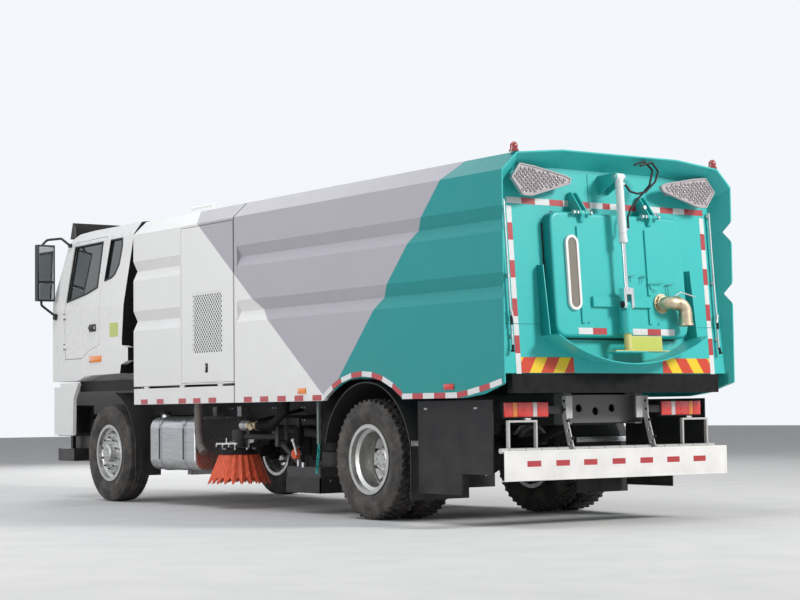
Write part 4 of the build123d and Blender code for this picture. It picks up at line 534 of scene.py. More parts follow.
def add_rim(shape, place, half_width, half_height, width, depth):
    """A rim with round ends. place turns its X, its height and its depth into a point of the frame."""
    steps = 12
    loops = []
    for inset, out in ((0, 0), (0, depth), (width, depth), (width, 0)):
        radius = half_width - inset
        loop = []
        for end, turn in ((1, 0), (-1, math.pi)):
            for step in range(steps + 1):
                angle = turn + math.pi * step / steps
                height = end * (half_height - half_width) + radius * math.sin(angle)
                loop.append(shape.verts.new(place(radius * math.cos(angle), height, out)))
        loops.append(loop)
    for first, second in zip(loops, loops[1:] + loops[:1]):
        for corner in range(len(first)):
            after = (corner + 1) % len(first)
            shape.faces.new((first[corner], first[after], second[after], second[corner]))


# Tyres and wheels
tyre_radius = 0.521
front_tyre_x = 1.052
rear_tyre_x = 1.062
twin_pitch = 0.326
nut_circle = 0.1675

# Half sections by distance from the tyre's middle plane and radius, from the bead up to the tread
side_wall = [
    (-0.110, 0.286), (-0.110, 0.302), (-0.122, 0.318), (-0.126, 0.330), (-0.129, 0.334), (-0.141, 0.376),
    (-0.145, 0.404), (-0.145, 0.412), (-0.143, 0.416), (-0.137, 0.458),
]
rib_profile = side_wall + [
    (-0.128, 0.486), (-0.124, 0.490), (-0.121, 0.506), (-0.115, 0.513), (-0.073, 0.517), (-0.071, 0.505),
    (-0.063, 0.505), (-0.061, 0.518), (-0.026, 0.520), (-0.024, 0.507), (-0.016, 0.507), (-0.014, 0.520),
]
lug_profile = side_wall + [(-0.130, 0.480), (-0.119, 0.499), (-0.075, 0.503), (-0.030, 0.504)]


def add_tyre(shape, middle, lugs):
    """A tyre round its middle: ribbed for steering, or with open shoulder lugs for drive."""
    half = lug_profile if lugs else rib_profile
    profile = half + [(-across, radius) for across, radius in reversed(half)]
    section = [middle + Vector((across, 0, radius)) for across, radius in profile]
    spin_all_round(shape, section, False, middle, (1, 0, 0), 96)
    for side in (-1, 1):
        if not lugs:
            made = add_block(shape, (0.034, 0.009, 0.012), middle + Vector((side * 0.104, 0, 0.508)))
            ring_of(shape, made, middle, 72)
            continue
        # Outer and inner lug: distance across, length, width, lean, radius and shift round the tyre
        for across, length, width, lean, radius, shift in (
            (0.097, 0.046, 0.030, 18, 0.505, 0.0), (0.045, 0.040, 0.034, -24, 0.5095, 0.022),
        ):
            made = add_block(shape, (length, width, 0.022), (0, 0, 0))
            bmesh.ops.scale(shape, vec=(0.9, 0.82, 1.0), verts=[vert for vert in made if vert.co.z > 0])
            turn = Matrix.Rotation(math.radians(side * lean), 3, "Z")
            bmesh.ops.rotate(shape, cent=(0, 0, 0), matrix=turn, verts=made)
            bmesh.ops.translate(shape, vec=middle + Vector((side * across, shift, radius)), verts=made)
            ring_of(shape, made, middle, 44)
    if lugs:
        turn = Matrix.Rotation(math.radians(40), 3, "Z")
        made = add_block(shape, (0.036, 0.036, 0.022), middle + Vector((0, 0, 0.5095)), turn)
        ring_of(shape, made, middle, 44)


def add_stud(shape, centre, x0, x1, up, radius, finish=0, sides=16):
    """A short bar along X, above the centre of a wheel."""
    return add_rod(shape, centre + Vector((x0, 0, up)), centre + Vector((x1, 0, up)), radius, finish, sides)


def dress_wheels():
    """Treaded tyres in place of the plain ones, and nuts and hub bolts on the wheels."""
    for side, s in truck_sides.items():
        shape = bmesh.new()
        add_tyre(shape, at(s * front_tyre_x, -wheelbase, tyre_radius), False)
        piece = settle(shape, f"steer_tyre_{side}", f"front_wheel_{side}", [tyre_black], 32)
        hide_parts(f"tyre_front_{side}")
        shape = bmesh.new()
        for x in (rear_tyre_x, rear_tyre_x - twin_pitch):
            add_tyre(shape, at(s * x, 0, tyre_radius), True)
        piece = settle(shape, f"drive_tyres_{side}", f"rear_wheel_{side}", [tyre_black], 32)
        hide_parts(f"tyres_rear_{side}")
        # Each wheel's nuts: name, body, axle station, X of the disc's face, X of the hub's end and its radius
        for name, body, station, face, hub_end, hub_radius in (
            ("steer", f"front_wheel_{side}", -wheelbase, 1.148, 1.214, 0.070),
            ("drive", f"rear_wheel_{side}", 0.0, 0.913, 1.064, 0.080),
        ):
            shape = bmesh.new()
            centre = at(0, station, tyre_radius)
            made = add_stud(shape, centre, s * face, s * (face + 0.006), nut_circle, 0.021)
            made += add_stud(shape, centre, s * (face + 0.005), s * (face + 0.029), nut_circle, 0.0165, 0, 6)
            made += add_stud(shape, centre, s * (face + 0.028), s * (face + 0.041), nut_circle, 0.010, 1, 10)
            ring_of(shape, made, centre, 10)
            bolt_circle = hub_radius * 0.72
            made = add_stud(shape, centre, s * (hub_end - 0.002), s * (hub_end + 0.009), bolt_circle, 0.009, 0, 6)
            ring_of(shape, made, centre, 8)
            piece = settle(shape, f"{name}_wheel_nuts_{side}", body, [zinc_plate, axle_black], 40)


# Reflective tapes, hazard boards and markers

# Foot and top of the sloping tail wall, by station and height
tail_foot = (1.925, 1.222)
tail_top = (1.792, 2.966)
tail_tilt = math.atan2(tail_foot[0] - tail_top[0], tail_top[1] - tail_foot[1])
tail_turn = Matrix.Rotation(tail_tilt, 3, "X")


def tail_spot(x, z, off=0.0):
    """Point at a distance out from the sloping tail wall, in the row frame."""
    station = tail_foot[0] - (z - tail_foot[1]) * math.tan(tail_tilt) + off * math.cos(tail_tilt)
    return at(x, station, z + off * math.sin(tail_tilt))


def reflective_tape(name, colour):
    """Retroreflective film: a fine honeycomb under a clear face."""
    finish, tree, shader = start_finish(name, colour, 0.3, {"Coat Weight": 0.6})
    cells = texture(tree, "Voronoi", 170.0).outputs["Distance"]
    darker = tuple(c * 0.78 for c in colour)
    feed(shader, "Base Color", mix_colour(tree, ramp(tree, cells, 0.2, 0.7), colour, darker))
    bump(tree, shader, cells, 0.1, 0.001)
    return finish


def striped_board(name):
    """Slanting red and yellow stripes, mirrored about the truck's middle."""
    finish, tree, shader = start_finish(name, (0.6, 0.05, 0.02), 0.3)
    axes = split_axes(tree)
    across = math_node(tree, "ABSOLUTE", axes["X"])
    slant = math_node(tree, "ADD", across, math_node(tree, "MULTIPLY", axes["Z"], 0.62))
    step = math_node(tree, "FRACT", math_node(tree, "MULTIPLY", slant, 4.1))
    yellow = math_node(tree, "GREATER_THAN", step, 0.52)
    feed(shader, "Base Color", mix_colour(tree, yellow, (0.62, 0.055, 0.02), (0.86, 0.58, 0.02)))
    bump(tree, shader, noise(tree, 90.0), 0.05, 0.001)
    return finish


tape_red = reflective_tape("tape_red", (0.52, 0.035, 0.045))
tape_white = reflective_tape("tape_white", (0.84, 0.84, 0.85))
hazard_stripes = striped_board("hazard_stripes")
label_yellow = reflective_tape("label_yellow", (0.60, 0.68, 0.12))
# X of the side walls' tapes, and the foot and half length of a red one
tape_x = 1.2508
tape_foot = 1.037
tape_half = 0.074
skirt_reds = (-4.04, -3.69, -3.22, -2.92, -2.61)
tank_reds = (-1.93, -1.63, -1.32, -1.02, -0.715)
# Ends of the rear top tape's blocks along X, and of the upright tapes' blocks by height, white first
top_joints = (1.075, 0.92, 0.78, 0.63, 0.486, 0.30, 0.195, 0.06, -0.02, -0.15, -0.46, -0.58, -0.73, -0.86, -1.075)
upright_joints = (2.555, 2.42, 2.281, 2.117, 1.979, 1.812, 1.671, 1.519, 1.378, 1.217)
# Ends of the blocks round the rear wheel by station, and of those behind it by station and height
arch_joints = (-0.600, -0.454, -0.313, -0.155, 0.005, 0.155, 0.308, 0.457, 0.590)
tail_skirt_joints = (
    (0.605, 1.034), (0.754, 1.034), (0.904, 1.034), (1.06, 1.034), (1.215, 1.034), (1.374, 1.034),
    (1.516, 1.051), (1.671, 1.077), (1.808, 1.102), (1.960, 1.135),
)
# Centre height, radius and half width of the wheel arch's edge
arch_centre = 0.202
arch_radius = 1.033
arch_half = 0.605


def tail_turned_box(shape, x0, x1, z0, z1, off, thick, finish):
    """A box flat on the sloping tail wall."""
    size = (abs(x1 - x0), thick, abs(z1 - z0) / math.cos(tail_tilt))
    add_block(shape, size, tail_spot((x0 + x1) / 2, (z0 + z1) / 2, off + thick / 2), tail_turn, finish)


def side_strip(shape, x, ends, height, finish):
    """A strip of tape on a side wall. Its lower edge runs between two points of station and height."""
    (y0, z0), (y1, z1) = ends
    run = Vector((0, y1 - y0, z1 - z0))
    lift = Vector((0, -run.z, run.y)).normalized() * height / 2
    turn = Matrix.Rotation(math.atan2(run.z, run.y), 3, "X")
    add_block(shape, (0.0012, run.length, height), at(x, (y0 + y1) / 2, (z0 + z1) / 2) + lift, turn, finish)


def add_reds(shape, x, stations):
    for station in stations:
        side_strip(shape, x, ((station - tape_half, tape_foot), (station + tape_half, tape_foot)), 0.05, 0)


def arch_point(station):
    """Station of a tape joint and its height on the wheel arch's edge."""
    return station, 0.002 + arch_centre + math.sqrt(arch_radius**2 - min(station * station, arch_half**2))


def dress_tapes():
    """Red and white tape on the sides, tail, door and bumper, and the tail's two hazard boards."""
    for side, s in truck_sides.items():
        x = s * tape_x
        shape = bmesh.new()
        add_reds(shape, x, skirt_reds)
        settle(shape, f"flap_tapes_{side}", f"skirt_flap_{side}", [tape_red])
        shape = bmesh.new()
        add_reds(shape, x, tank_reds)
        for joints in ([arch_point(station) for station in arch_joints], tail_skirt_joints):
            for turn, ends in enumerate(zip(joints, joints[1:])):
                side_strip(shape, x, ends, 0.046, 1 - turn % 2)
        settle(shape, f"tank_tapes_{side}", "tank", [tape_red, tape_white])
    shape = bmesh.new()
    for turn, (x0, x1) in enumerate(zip(top_joints, top_joints[1:])):
        tail_turned_box(shape, x0, x1, 2.577, 2.627, 0.0003, 0.0012, 1 - turn % 2)
    for s in (1, -1):
        for turn, (z1, z0) in enumerate(zip(upright_joints, upright_joints[1:])):
            tail_turned_box(shape, s * 1.028, s * 1.078, z0, z1, 0.0003, 0.0012, 1 - turn % 2)
        tail_turned_box(shape, s * 0.484, s * 1.026, 1.224, 1.348, 0.0003, 0.0015, 2)
    settle(shape, "tail_tapes", "tank", [tape_red, tape_white, hazard_stripes])
    shape = bmesh.new()
    for x0, x1, finish in (
        (0.494, 0.343, 1), (0.343, 0.195, 0), (-0.089, -0.25, 1), (-0.25, -0.398, 0), (-0.398, -0.551, 1),
    ):
        tail_turned_box(shape, x0, x1, 1.526, 1.578, 0.0983, 0.0012, finish)
    settle(shape, "door_tapes", "tail_door", [tape_red, tape_white])
    shape = bmesh.new()
    for middle in (0.908, 0.612, 0.322, 0.018, -0.286, -0.586, -0.886):
        add_box(shape, at(middle - 0.07, 1.918, 0.484), at(middle + 0.07, 1.9192, 0.530))
    settle(shape, "bumper_tapes", "chassis", [tape_red])


# Arrow boards

# Corners of the left board by X and height. Its rim and its lenses stand off the tail wall.
board_outline = (
    (1.104, 2.760), (1.016, 2.874), (0.880, 2.860), (0.545, 2.800), (0.495, 2.778), (0.515, 2.740), (0.915, 2.624),
    (1.000, 2.626),
)
board_edges = tuple(zip(board_outline, board_outline[1:] + board_outline[:1]))
board_face = 0.127


def inside_outline(x, z, margin):
    """Whether a point lies inside the arrow board, at least a margin from its edges."""
    sides = [
        ((xb - xa) * (z - za) - (zb - za) * (x - xa)) / math.hypot(xb - xa, zb - za)
        for (xa, za), (xb, zb) in board_edges
    ]
    return min(sides) > margin or max(sides) < -margin


def dress_arrow_boards():
    """Smoky lenses in staggered rows over each arrow board, in a pale rim."""
    clear_lens, tree, shader = start_finish("clear_lens", (0.30, 0.26, 0.28), 0.12, {"Coat Weight": 0.9})
    facets = texture(tree, "Voronoi", 120.0).outputs["Distance"]
    feed(shader, "Base Color", mix_colour(tree, facets, (0.40, 0.35, 0.38), (0.12, 0.10, 0.11)))
    bump(tree, shader, facets, 0.4, 0.002)
    shape = bmesh.new()
    for s in (1, -1):
        for (xa, za), (xb, zb) in board_edges:
            add_rod(shape, tail_spot(s * xa, za, board_face), tail_spot(s * xb, zb, board_face), 0.008, 1, 8)
        for row in range(11):
            for column in range(15):
                x = 0.52 + column * 0.042 + (row % 2) * 0.021
                z = 2.64 + row * 0.0215
                if inside_outline(x, z, 0.019):
                    lens = bmesh.ops.create_uvsphere(shape, u_segments=10, v_segments=6, radius=0.0145)["verts"]
                    bmesh.ops.scale(shape, vec=(1, 0.55, 1), verts=lens)
                    bmesh.ops.translate(shape, vec=tail_spot(s * x, z, board_face), verts=lens)
    settle(shape, "arrow_lenses", "tank", [clear_lens, board_silver], 50)


# Tail door, its ram and the tail wall

# How far the door's panel and its hinges stand off the tail wall, and X of the door ram
door_skin = 0.098
hinge_off = 0.128
ram_x = 0.040
# Height of the ram's upper pin, its distance off the tail wall there, and how much it nears the wall downwards
ram_top = 2.812
ram_off = 0.200
ram_lean = 0.005 / 1.057


def ram_spot(z, dx=0.0):
    """Point on the door ram's line at a height."""
    return tail_spot(ram_x + dx, z, ram_off - ram_lean * (ram_top - z))


def dress_tail_door():
    """Sight glass rim, hooks, drain elbow's collars and lever, and the plated post under the ram."""

    def on_pane(x, up, out):
        return tail_spot(0.518 + x, 2.022 + up, door_skin + 0.0005 + out)

    shape = bmesh.new()
    add_rim(shape, on_pane, 0.066, 0.304, 0.021, 0.0225)
    settle(shape, "sight_glass_rim", "tail_door", [bumper_white], 40)
    shape = bmesh.new()
    for leg, bar, stem in (
        ((-0.087, 2.010), ((-0.048, 2.004), (-0.138, 2.016)), ((-0.087, 2.010), (-0.081, 1.958))),
        ((-0.219, 2.010), ((-0.190, 2.006), (-0.275, 2.017)), ((-0.219, 2.010), (-0.207, 1.952))),
        ((-0.288, 1.949), ((-0.269, 1.947), (-0.445, 1.960)), ((-0.288, 1.949), (-0.305, 1.908), (-0.368, 1.893))),
        ((-0.492, 1.948), ((-0.469, 1.946), (-0.566, 1.957)), ((-0.492, 1.948), (-0.500, 1.857), (-0.395, 1.851))),
    ):
        add_rod(shape, tail_spot(*leg, door_skin - 0.003), tail_spot(*leg, door_skin + 0.018), 0.004, 0, 8)
        for wire in (bar, stem):
            add_bent_rod(shape, lambda x, z: tail_spot(x, z, door_skin + 0.018), wire, 0.0035, 0, 8)
    for x in (-0.380, 0.380):
        add_rod(shape, tail_spot(x, 1.620, door_skin - 0.002), tail_spot(x, 1.620, door_skin + 0.006), 0.009, 0, 8)
    settle(shape, "door_hooks", "tail_door", [hook_teal], 40)
    shape = bmesh.new()
    for near, far, outer in ((0.0, 0.014, 0.082), (0.020, 0.040, 0.062)):
        start, end = (tail_spot(-0.420, 1.790, door_skin + off) for off in (near, far))
        add_collar(shape, start, end, outer, 0.050)
    for step in range(6):
        angle = math.tau * step / 6
        x, z = -0.420 + 0.069 * math.cos(angle), 1.790 + 0.069 * math.sin(angle)
        add_rod(shape, tail_spot(x, z, door_skin + 0.013), tail_spot(x, z, door_skin + 0.022), 0.008, 0, 6)
    for x in (-0.485, -0.502, -0.519):
        add_collar(shape, tail_spot(x, 1.785, 0.193), tail_spot(x - 0.007, 1.785, 0.193), 0.0585, 0.050)
    for z in (1.700, 1.680, 1.660, 1.640):
        add_collar(shape, tail_spot(-0.600, z, 0.193), tail_spot(-0.600, z - 0.007, 0.193), 0.0585, 0.050)
    add_collar(shape, tail_spot(-0.600, 1.618, 0.193), tail_spot(-0.600, 1.598, 0.193), 0.061, 0.046)
    lever = ((-0.500, 1.826, 0.170), (-0.520, 1.852, 0.18), (-0.577, 1.880, 0.18), (-0.738, 1.845, 0.18))
    add_bent_rod(shape, tail_spot, lever, 0.006, 1)
    settle(shape, "drain_fittings", "tail_door", [elbow_brass, zinc_plate], 35)
    shape = bmesh.new()
    post_foot = tail_spot(ram_x, 1.381, 0.172)
    add_rod(shape, post_foot, tail_spot(ram_x, 1.528, 0.172), 0.0315, 0, 24)
    add_collar(shape, post_foot, tail_spot(ram_x, 1.392, 0.172), 0.048, 0.030, 0, 24)
    for x0, x1, z0, z1, off, thick, finish in (
        (-0.372, 0.216, 1.3805, 1.387, 0.128, 0.090, 0),
        (-0.353, -0.014, 1.386, 1.512, 0.140, 0.012, 0),
        (-0.345, -0.022, 1.396, 1.503, 0.1515, 0.0015, 1),
    ):
        tail_turned_box(shape, x0, x1, z0, z1, off, thick, finish)
    settle(shape, "post_foot_plating", "tail_door", [yellow_zinc, label_yellow], 40)


def dress_door_ram():
    """Gland, ports and bolt heads of the door ram."""
    shape = bmesh.new()
    add_collar(shape, ram_spot(2.300), ram_spot(2.268), 0.0375, 0.0185)
    add_collar(shape, ram_spot(2.268), ram_spot(2.262), 0.030, 0.0185, 1)
    for z in (2.756, 2.380):
        middle = ram_spot(z, -0.030)
        add_rod(shape, middle + Vector((0.008, 0, 0)), middle + Vector((-0.022, 0, 0)), 0.014, 1, 6)
    for z in (2.720, 2.345):
        add_collar(shape, ram_spot(z), ram_spot(z - 0.004), 0.0348, 0.030, 1)
    settle(shape, "ram_gland", "door_barrel", [ram_white, zinc_plate], 40)
    shape = bmesh.new()
    for s in (1, -1):
        add_rod(shape, ram_spot(1.770, s * 0.051), ram_spot(1.770, s * 0.064), 0.019, 0, 6)
        add_rod(shape, ram_spot(1.755, s * 0.0505), ram_spot(1.755, s * 0.0535), 0.026, 0, 20)
    add_collar(shape, ram_spot(1.900), ram_spot(1.888), 0.027, 0.018, 1)
    settle(shape, "fork_bolt_heads", "door_rod", [axle_black, zinc_plate], 40)


def dress_tail_wall():
    """Door seal, bolts of the hinges and the ram, the lock rods' grips and seams on the tail wall."""
    shape = bmesh.new()
    for x0, x1, z0, z1 in (
        (0.700, 0.736, 1.60, 2.43), (-0.736, -0.700, 1.60, 2.43),
        (-0.63, 0.63, 1.492, 1.53), (-0.63, 0.63, 2.50, 2.532),
    ):
        tail_turned_box(shape, x0, x1, z0, z1, 0.0005, 0.005, 0)
    settle(shape, "door_seal", "tank", [seal_rubber])
    shape = bmesh.new()
    for x in (0.400, -0.340):
        for bolt in (x - 0.058, x - 0.082):
            top = tail_spot(bolt, 2.545, hinge_off)
            add_rod(shape, top, tail_spot(bolt, 2.516, hinge_off), 0.0065, 0, 10)
            add_rod(shape, top, tail_spot(bolt, 2.533, hinge_off), 0.012, 0, 6)
        for nut in (x + 0.052, x + 0.090, x - 0.090):
            start, end = tail_spot(nut - 0.008, 2.510, hinge_off), tail_spot(nut + 0.008, 2.510, hinge_off)
            add_rod(shape, start, end, 0.021, 0, 6)
    add_rod(shape, tail_spot(-0.301, 2.591, 0.094), tail_spot(-0.301, 2.591, 0.122), 0.016, 0, 16)
    add_rod(shape, tail_spot(-0.122, 2.822, 0.012), tail_spot(-0.160, 2.640, 0.012), 0.006, 1, 8)
    for s in (1, -1):
        add_rod(shape, ram_spot(2.812, s * 0.0515), ram_spot(2.812, s * 0.060), 0.024, 0, 6)
        for z0, x1, z1 in ((1.670, 1.122, 1.600), (1.440, 1.128, 1.400)):
            add_rod(shape, tail_spot(s * 1.122, z0, 0.034), tail_spot(s * x1, z1, 0.036), 0.011, 1, 10)
        add_rod(shape, tail_spot(s * 1.130, 1.400, 0.036), tail_spot(s * 1.130, 1.386, 0.036), 0.017, 1, 12)
    settle(shape, "tail_bolts", "tank", [zinc_plate, axle_black], 40)
    shape = bmesh.new()
    for x0, x1, z0, z1, thick in (
        (0.806, 1.238, 1.609, 1.615, 0.002), (-1.238, -0.806, 1.609, 1.615, 0.002),
        (0.205, 0.212, 2.560, 2.860, 0.003), (-0.106, -0.100, 2.560, 2.860, 0.003),
    ):
        tail_turned_box(shape, x0, x1, z0, z1, 0.0, thick, 0)
    settle(shape, "tail_seams", "tank", [hook_teal])


# Lamps, bumpers and what hangs under the body


def dress_lamps():
    """Lenses of the tail lamps in their sections, head lamps and the small side markers."""
    shape = bmesh.new()
    for s in (1, -1):
        for x0, x1, finish in (
            (1.070, 0.984, 0), (0.982, 0.936, 1), (0.934, 0.780, 0), (0.778, 0.733, 2), (0.731, 0.618, 0),
        ):
            add_box(shape, at(s * x0, 1.738, 0.876), at(s * x1, 1.753, 0.992), finish, 0.004)
        add_rod(shape, at(s * 0.858, 1.752, 0.934), at(s * 0.858, 1.757, 0.934), 0.020, 0, 20)
        add_box(shape, at(s * 0.850, 1.80, 0.851), at(s * 0.905, 1.815, 0.866), 2, 0.002)
        add_box(shape, at(s * 0.772, -6.4275, 0.892), at(s * 1.098, -6.4365, 1.068), 3, 0.006)
        for y0, y1, finish in ((-1.029, -0.895, 1), (1.202, 1.336, 0)):
            add_box(shape, at(s * 1.2495, y0, 1.102), at(s * 1.262, y1, 1.150), finish, 0.004)
    piece = settle(shape, "chassis_lenses", "chassis", [red_lens, amber_lens, clear_strip, headlamp_glass], 35)


def dress_bumper():
    """Joints round the bumper's tube, its folded rim and the bolts of its hangers."""
    shape = bmesh.new()
    for step in range(14):
        x = -1.075 + step * 0.1655
        add_collar(shape, at(x, 1.806, 0.610), at(x + 0.005, 1.806, 0.610), 0.0216, 0.019, 0, 20)
    for s in (1, -1):
        for y, z in ((1.748, 1.000), (1.756, 0.930), (1.790, 0.840), (1.850, 0.700)):
            add_rod(shape, at(s * 0.436, y, z), at(s * 0.4395, y, z), 0.012, 0, 6)
            add_rod(shape, at(s * 0.4485, y, z), at(s * 0.456, y, z), 0.012, 0, 6)
        add_box(shape, at(s * 1.182, 1.9175, 0.374), at(s * 1.205, 1.9195, 0.610), 1, 0.0008)
    for z in (0.380, 0.600):
        add_box(shape, at(-1.183, 1.9175, z - 0.006), at(1.183, 1.9190, z + 0.006), 1, 0.0006)
    settle(shape, "bumper_trim", "chassis", [axle_black, bumper_white], 40)


def dress_chassis():
    """Pipes, couplings and chain under the body, the nozzle's skirts and lever, and fittings of the frame."""
    shape = bmesh.new()
    for s in (1, -1):
        add_rod(shape, at(s * 0.425, -2.280, 0.960), at(s * 1.000, -2.280, 0.840), 0.018, 0, 14)
        add_collar(shape, at(s * 1.0, -2.445, 0.812), at(s * 1.0, -2.380, 0.812), 0.050, 0.030, 2, 24)
        add_collar(shape, at(s * 1.0, -2.380, 0.812), at(s * 1.0, -2.330, 0.811), 0.043, 0.030, 2, 24)
        add_rod(shape, at(s * 1.0, -2.335, 0.811), at(s * 1.0, -2.160, 0.808), 0.034, 1, 24)
        for y in (-2.315, -2.180):
            add_rod(shape, at(s * 1.0, y - 0.018, 0.811), at(s * 1.0, y + 0.018, 0.810), 0.046, 1, 6)
        add_rod(shape, at(s * 1.0, -2.250, 0.812), at(s * 1.06, -2.215, 0.790), 0.026, 1, 6)
        hose = ((1.0, -2.165, 0.808), (1.0, -1.90, 0.815), (0.93, -1.78, 0.95), (0.90, -1.78, 1.149))
        add_bent_rod(shape, on_side(s), hose, 0.040, 0, 16)
        for step in range(9):
            y = -2.140 + step * 0.026
            add_collar(shape, at(s * 1.0, y, 0.810), at(s * 1.0, y + 0.012, 0.810), 0.045, 0.036, 0, 20)
        pipe = ((1.15, -3.068, 1.149), (1.15, -3.068, 0.74), (1.15, -3.03, 0.61), (1.15, -2.96, 0.545))
        add_bent_rod(shape, on_side(s), pipe, 0.042, 3, 18)
        add_collar(shape, at(s * 1.15, -3.068, 0.985), at(s * 1.15, -3.068, 0.945), 0.047, 0.040, 3, 20)
        add_box(shape, at(s * 1.035, -1.015, 0.640), at(s * 1.065, -0.985, 1.149), 4, 0.004)
        add_rod(shape, at(s * 1.118, 0.652, 0.655), at(s * 0.690, 0.652, 0.655), 0.010, 0, 10)
    finishes = [frame_black, elbow_brass, zinc_plate, hose_grey, side_stay]
    settle(shape, "underbody_pipes", "chassis", finishes, 40)
    shape = bmesh.new()
    for link in range(7):
        y, z = -0.998 - link * 0.006, 0.642 - link * 0.036
        dx, dy = (0.011, 0) if link % 2 else (0, 0.011)
        upper = [(1.050 - dx, y - dy, z), (1.050 + dx, y + dy, z)]
        lower = [(1.050 + dx, y + dy - 0.006, z - 0.046), (1.050 - dx, y - dy - 0.006, z - 0.046)]
        add_bent_rod(shape, at, upper[1:] + lower + upper + lower[:1], 0.0055, 0, 8)
    settle(shape, "lifting_chain", "chassis", [ram_teal], 40)
    shape = bmesh.new()
    for s in (1, -1):
        add_each(add_rod, shape, on_side(s), (
            ((0.955, -1.505, 0.425), (0.955, -1.505, 0.560), 0.016, 3, 12),
            ((0.935, -1.505, 0.545), (0.975, -1.505, 0.545), 0.026, 3, 16),
            ((0.972, -1.505, 0.545), (1.008, -1.505, 0.545), 0.052, 0, 20, 0.044),
        ))
        lever = ((1.004, -1.460, 0.540), (1.012, -1.480, 0.610), (1.012, -1.515, 0.672))
        add_bent_rod(shape, on_side(s), lever, 0.010, 1)
        add_ball(shape, at(s * 1.012, -1.515, 0.674), 0.017, 1, 14, 8)
        for y0, y1, x0, x1 in (
            (-1.652, -1.641, 0.0, 1.012), (-1.059, -1.048, 0.0, 1.012), (-1.652, -1.048, 1.001, 1.012),
        ):
            add_box(shape, at(s * x0, y0, 0.190), at(s * x1, y1, 0.330), 2)
        for y in (-1.655, -1.045):
            for x in (0.15, 0.40, 0.65, 0.90):
                add_rod(shape, at(s * x, y - 0.004, 0.305), at(s * x, y + 0.004, 0.305), 0.010, 3, 6)
        add_rod(shape, at(s * 1.0, -1.35, 0.425), at(s * 1.0, -1.35, 0.470), 0.018, 3, 12)
    piece = settle(shape, "nozzle_skirts", "nozzle", [brush_orange, ram_white, guard_plastic, zinc_plate], 40)
    shape = bmesh.new()
    add_rod(shape, at(1.040, -3.960, 0.925), at(1.040, -3.960, 0.948), 0.052, 0, 24)
    add_box(shape, at(1.000, -3.968, 0.946), at(1.080, -3.952, 0.960), 0, 0.003)
    for y in (-3.860, -3.350):
        add_box(shape, at(1.1715, y - 0.010, 0.470), at(1.1745, y + 0.010, 0.790))
        add_rod(shape, at(1.178, y, 0.800), at(1.178, y, 0.860), 0.008, 1, 8)
    for s in (1, -1):
        for x0, x1 in ((0.650, 0.700), (1.100, 1.150)):
            add_box(shape, at(s * x0, 0.6575, 0.30), at(s * x1, 0.661, 0.64), 0, 0.001)
        add_box(shape, at(s * 0.605, 0.657, 0.640), at(s * 1.200, 0.664, 0.685), 1, 0.001)
        for x in (0.66, 0.80, 0.94, 1.08, 1.16):
            add_rod(shape, at(s * x, 0.663, 0.663), at(s * x, 0.670, 0.663), 0.010, 1, 6)
        add_box(shape, at(s * 1.112, -5.840, 1.190), at(s * 1.118, -4.362, 1.306), 0, 0.002)
        for x0 in (0.930, 1.080):
            add_box(shape, at(s * x0, -4.341, 0.330), at(s * (x0 + 0.070), -4.336, 0.600), 0, 0.002)
        for y in (0.82, 1.50):
            for dz in (-0.012, 0.012):
                add_rod(shape, at(s * 1.161, y + dz, 0.95), at(s * 1.168, y + dz, 0.95), 0.009, 1, 6)
        for y in (-5.95, -3.65, -2.80, -2.25, -1.25, 0.70, 1.22):
            for dy, z in ((-0.025, 0.86), (0.025, 0.86), (-0.025, 0.98), (0.025, 0.98)):
                add_rod(shape, at(s * 0.424, y + dy, z), at(s * 0.434, y + dy, z), 0.011, 1, 6)
    settle(shape, "chassis_fittings", "chassis", [guard_plastic, zinc_plate], 40)


hose_grey = moulded_plastic("hose_grey", (0.16, 0.14, 0.13), 0.5)
side_stay = gloss_enamel("side_stay", (0.20, 0.24, 0.24), 0.4, 0.6, 0.2)
hook_teal = gloss_enamel("hook_teal", (0.02, 0.30, 0.29), 0.35, 0.4, 0.05)
clear_strip = lamp_lens("clear_strip", (0.80, 0.72, 0.72))
headlamp_glass = window_glass("headlamp_glass", (0.55, 0.58, 0.60))

dress_wheels()
dress_tapes()
dress_arrow_boards()
dress_tail_door()
dress_door_ram()
dress_tail_wall()
dress_lamps()
dress_bumper()
dress_chassis()

# Cab

# X of the cab's upright side, the height from which it leans in, and how much
cab_x = 1.215
lean_foot = 2.110
side_lean = 0.085 / 0.750
# Height of the windscreen's lower edge, and how far it slopes back for its height
screen_foot = 2.16
screen_slope = 0.4118


def cab_side(z):
    """X of the cab's outer skin at a height."""
    return cab_x - max(z - lean_foot, 0.0) * side_lean


def on_skin(s):
    """Place for points by station and height on the cab's side."""
    return lambda station, z: at(s * (cab_side(z) + 0.001), station, z)


def screen_spot(x, z, foot=-6.405):
    """Point on the slope of the windscreen, whose station at its lower edge is foot."""
    return at(x, foot + (z - screen_foot) * screen_slope, z)


# Corners of the door's window and of the one behind it, by station and height
door_window = ((-5.985, 2.205), (-5.900, 2.818), (-5.215, 2.826), (-5.245, 2.330), (-5.480, 2.275))
quarter_window = (
    (-5.080, 2.390), (-5.015, 2.830), (-4.750, 2.830), (-4.735, 2.740), (-4.770, 2.550), (-4.850, 2.450),
    (-4.925, 2.415),
)


